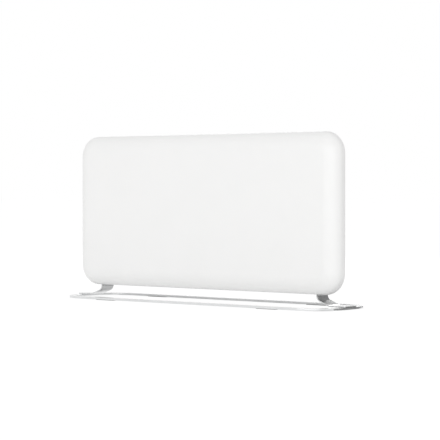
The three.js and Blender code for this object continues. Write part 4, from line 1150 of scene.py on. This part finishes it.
corners = [(x * FLOOR_HALF, y * FLOOR_HALF, 0.0) for x, y in ((-1, -1), (1, -1), (1, 1), (-1, 1))]
floor = object_from("studio_floor", mesh_from("studio_floor", corners, [(0, 1, 2, 3)]))
floor.data.materials.append(floor_material)
print("floor", 2 * FLOOR_HALF, "m across")

# %% World and lamps
WORLD_LIGHT = 0.71
WORLD_SLANT = 0.25
CASE_MIDDLE = (0.0, 0.0, 0.25)
LOOP_END = (0.2, 0.0, 0.0)

world = bpy.data.worlds.new("studio_world")
scene.world = world
world.use_nodes = True
world_tree = world.node_tree
direction = step(world_tree, "ShaderNodeTexCoord", {}, "Generated")
sideways = step(world_tree, "ShaderNodeSeparateXYZ", {"Vector": direction}, "X")
slant = step(world_tree, "ShaderNodeMapRange", {
    "Value": sideways, "From Min": -1.0, "To Min": WORLD_LIGHT * (1.0 - WORLD_SLANT),
    "To Max": WORLD_LIGHT * (1.0 + WORLD_SLANT)})
level = step(world_tree, "ShaderNodeMapRange", {
    "Value": seen_directly(world_tree), "To Min": slant, "To Max": 1.0})
backdrop = world_tree.nodes["Background"]
backdrop.inputs["Color"].default_value = (1.0, 1.0, 1.0, 1.0)
world_tree.links.new(level, backdrop.inputs["Strength"])


def softbox(name, place, target, size, power):
    """A rectangular lamp of size width by height, in metres, aimed at a target."""
    lamp_data = bpy.data.lights.new(name, "AREA")
    lamp_data.shape = "RECTANGLE"
    lamp_data.size, lamp_data.size_y = size
    lamp_data.energy = power
    box_lamp = bpy.data.objects.new(name, lamp_data)
    scene.collection.objects.link(box_lamp)
    box_lamp.location = place
    aim = Vector(target) - Vector(place)
    box_lamp.rotation_euler = aim.to_track_quat("-Z", "Y").to_euler()


softbox("front_light", (1.2, -5.6, 1.2), CASE_MIDDLE, size=(8.0, 2.2), power=112.0)
softbox("back_light", (-1.2, 2.6, 1.5), LOOP_END, size=(2.4, 1.2), power=15.0)
scene.view_settings.view_transform = "Standard"
print("world light", WORLD_LIGHT, "and lamps", len(bpy.data.lights))

# %% [markdown]
# ## Cards for the steel
# Polished steel shows what stands around it, and in an all-white studio it would melt
# into the ground. So grey cards stand behind the heater, and others lie on the floor
# under it, behind it and past its right-hand end. Only reflections see them: they
# take no light from the case and throw no shadow. Their places were worked out by
# reflecting the camera's line of sight in the steel.

# %% Cards
STANDING = (0.85, 0.87)
LYING = (0.0004, 0.0008)
CARDS = {
    "dark_card_right": ((0.45, 2.0), STANDING, (0.02, 1.1), 0.25),
    "dark_card_high": ((-0.35, 0.45), STANDING, (0.44, 1.1), 0.25),
    "grey_card_left": ((0.15, 0.45), STANDING, (0.02, 0.40), 0.50),
    "grey_card_low": ((-0.425, 0.47), (-0.10, 0.10), LYING, 0.86),
    "grey_card_behind": ((-0.45, 0.30), (0.12, 0.80), LYING, 0.48),
    "dark_card_behind": ((0.30, 0.95), (0.12, 0.80), LYING, 0.3),
    "dark_card_end": ((0.485, 0.95), (-0.06, 0.12), LYING, 0.3),
}
for name, (x_range, y_range, z_range, grey) in CARDS.items():
    board = block(name, *zip(x_range, y_range, z_range))
    board.visible_camera = False
    board.visible_diffuse = False
    board.visible_shadow = False
    board_grey, *_ = new_material(name, (grey, grey, grey), 0.9)
    board.data.materials.append(board_grey)
print("cards:", len(CARDS))
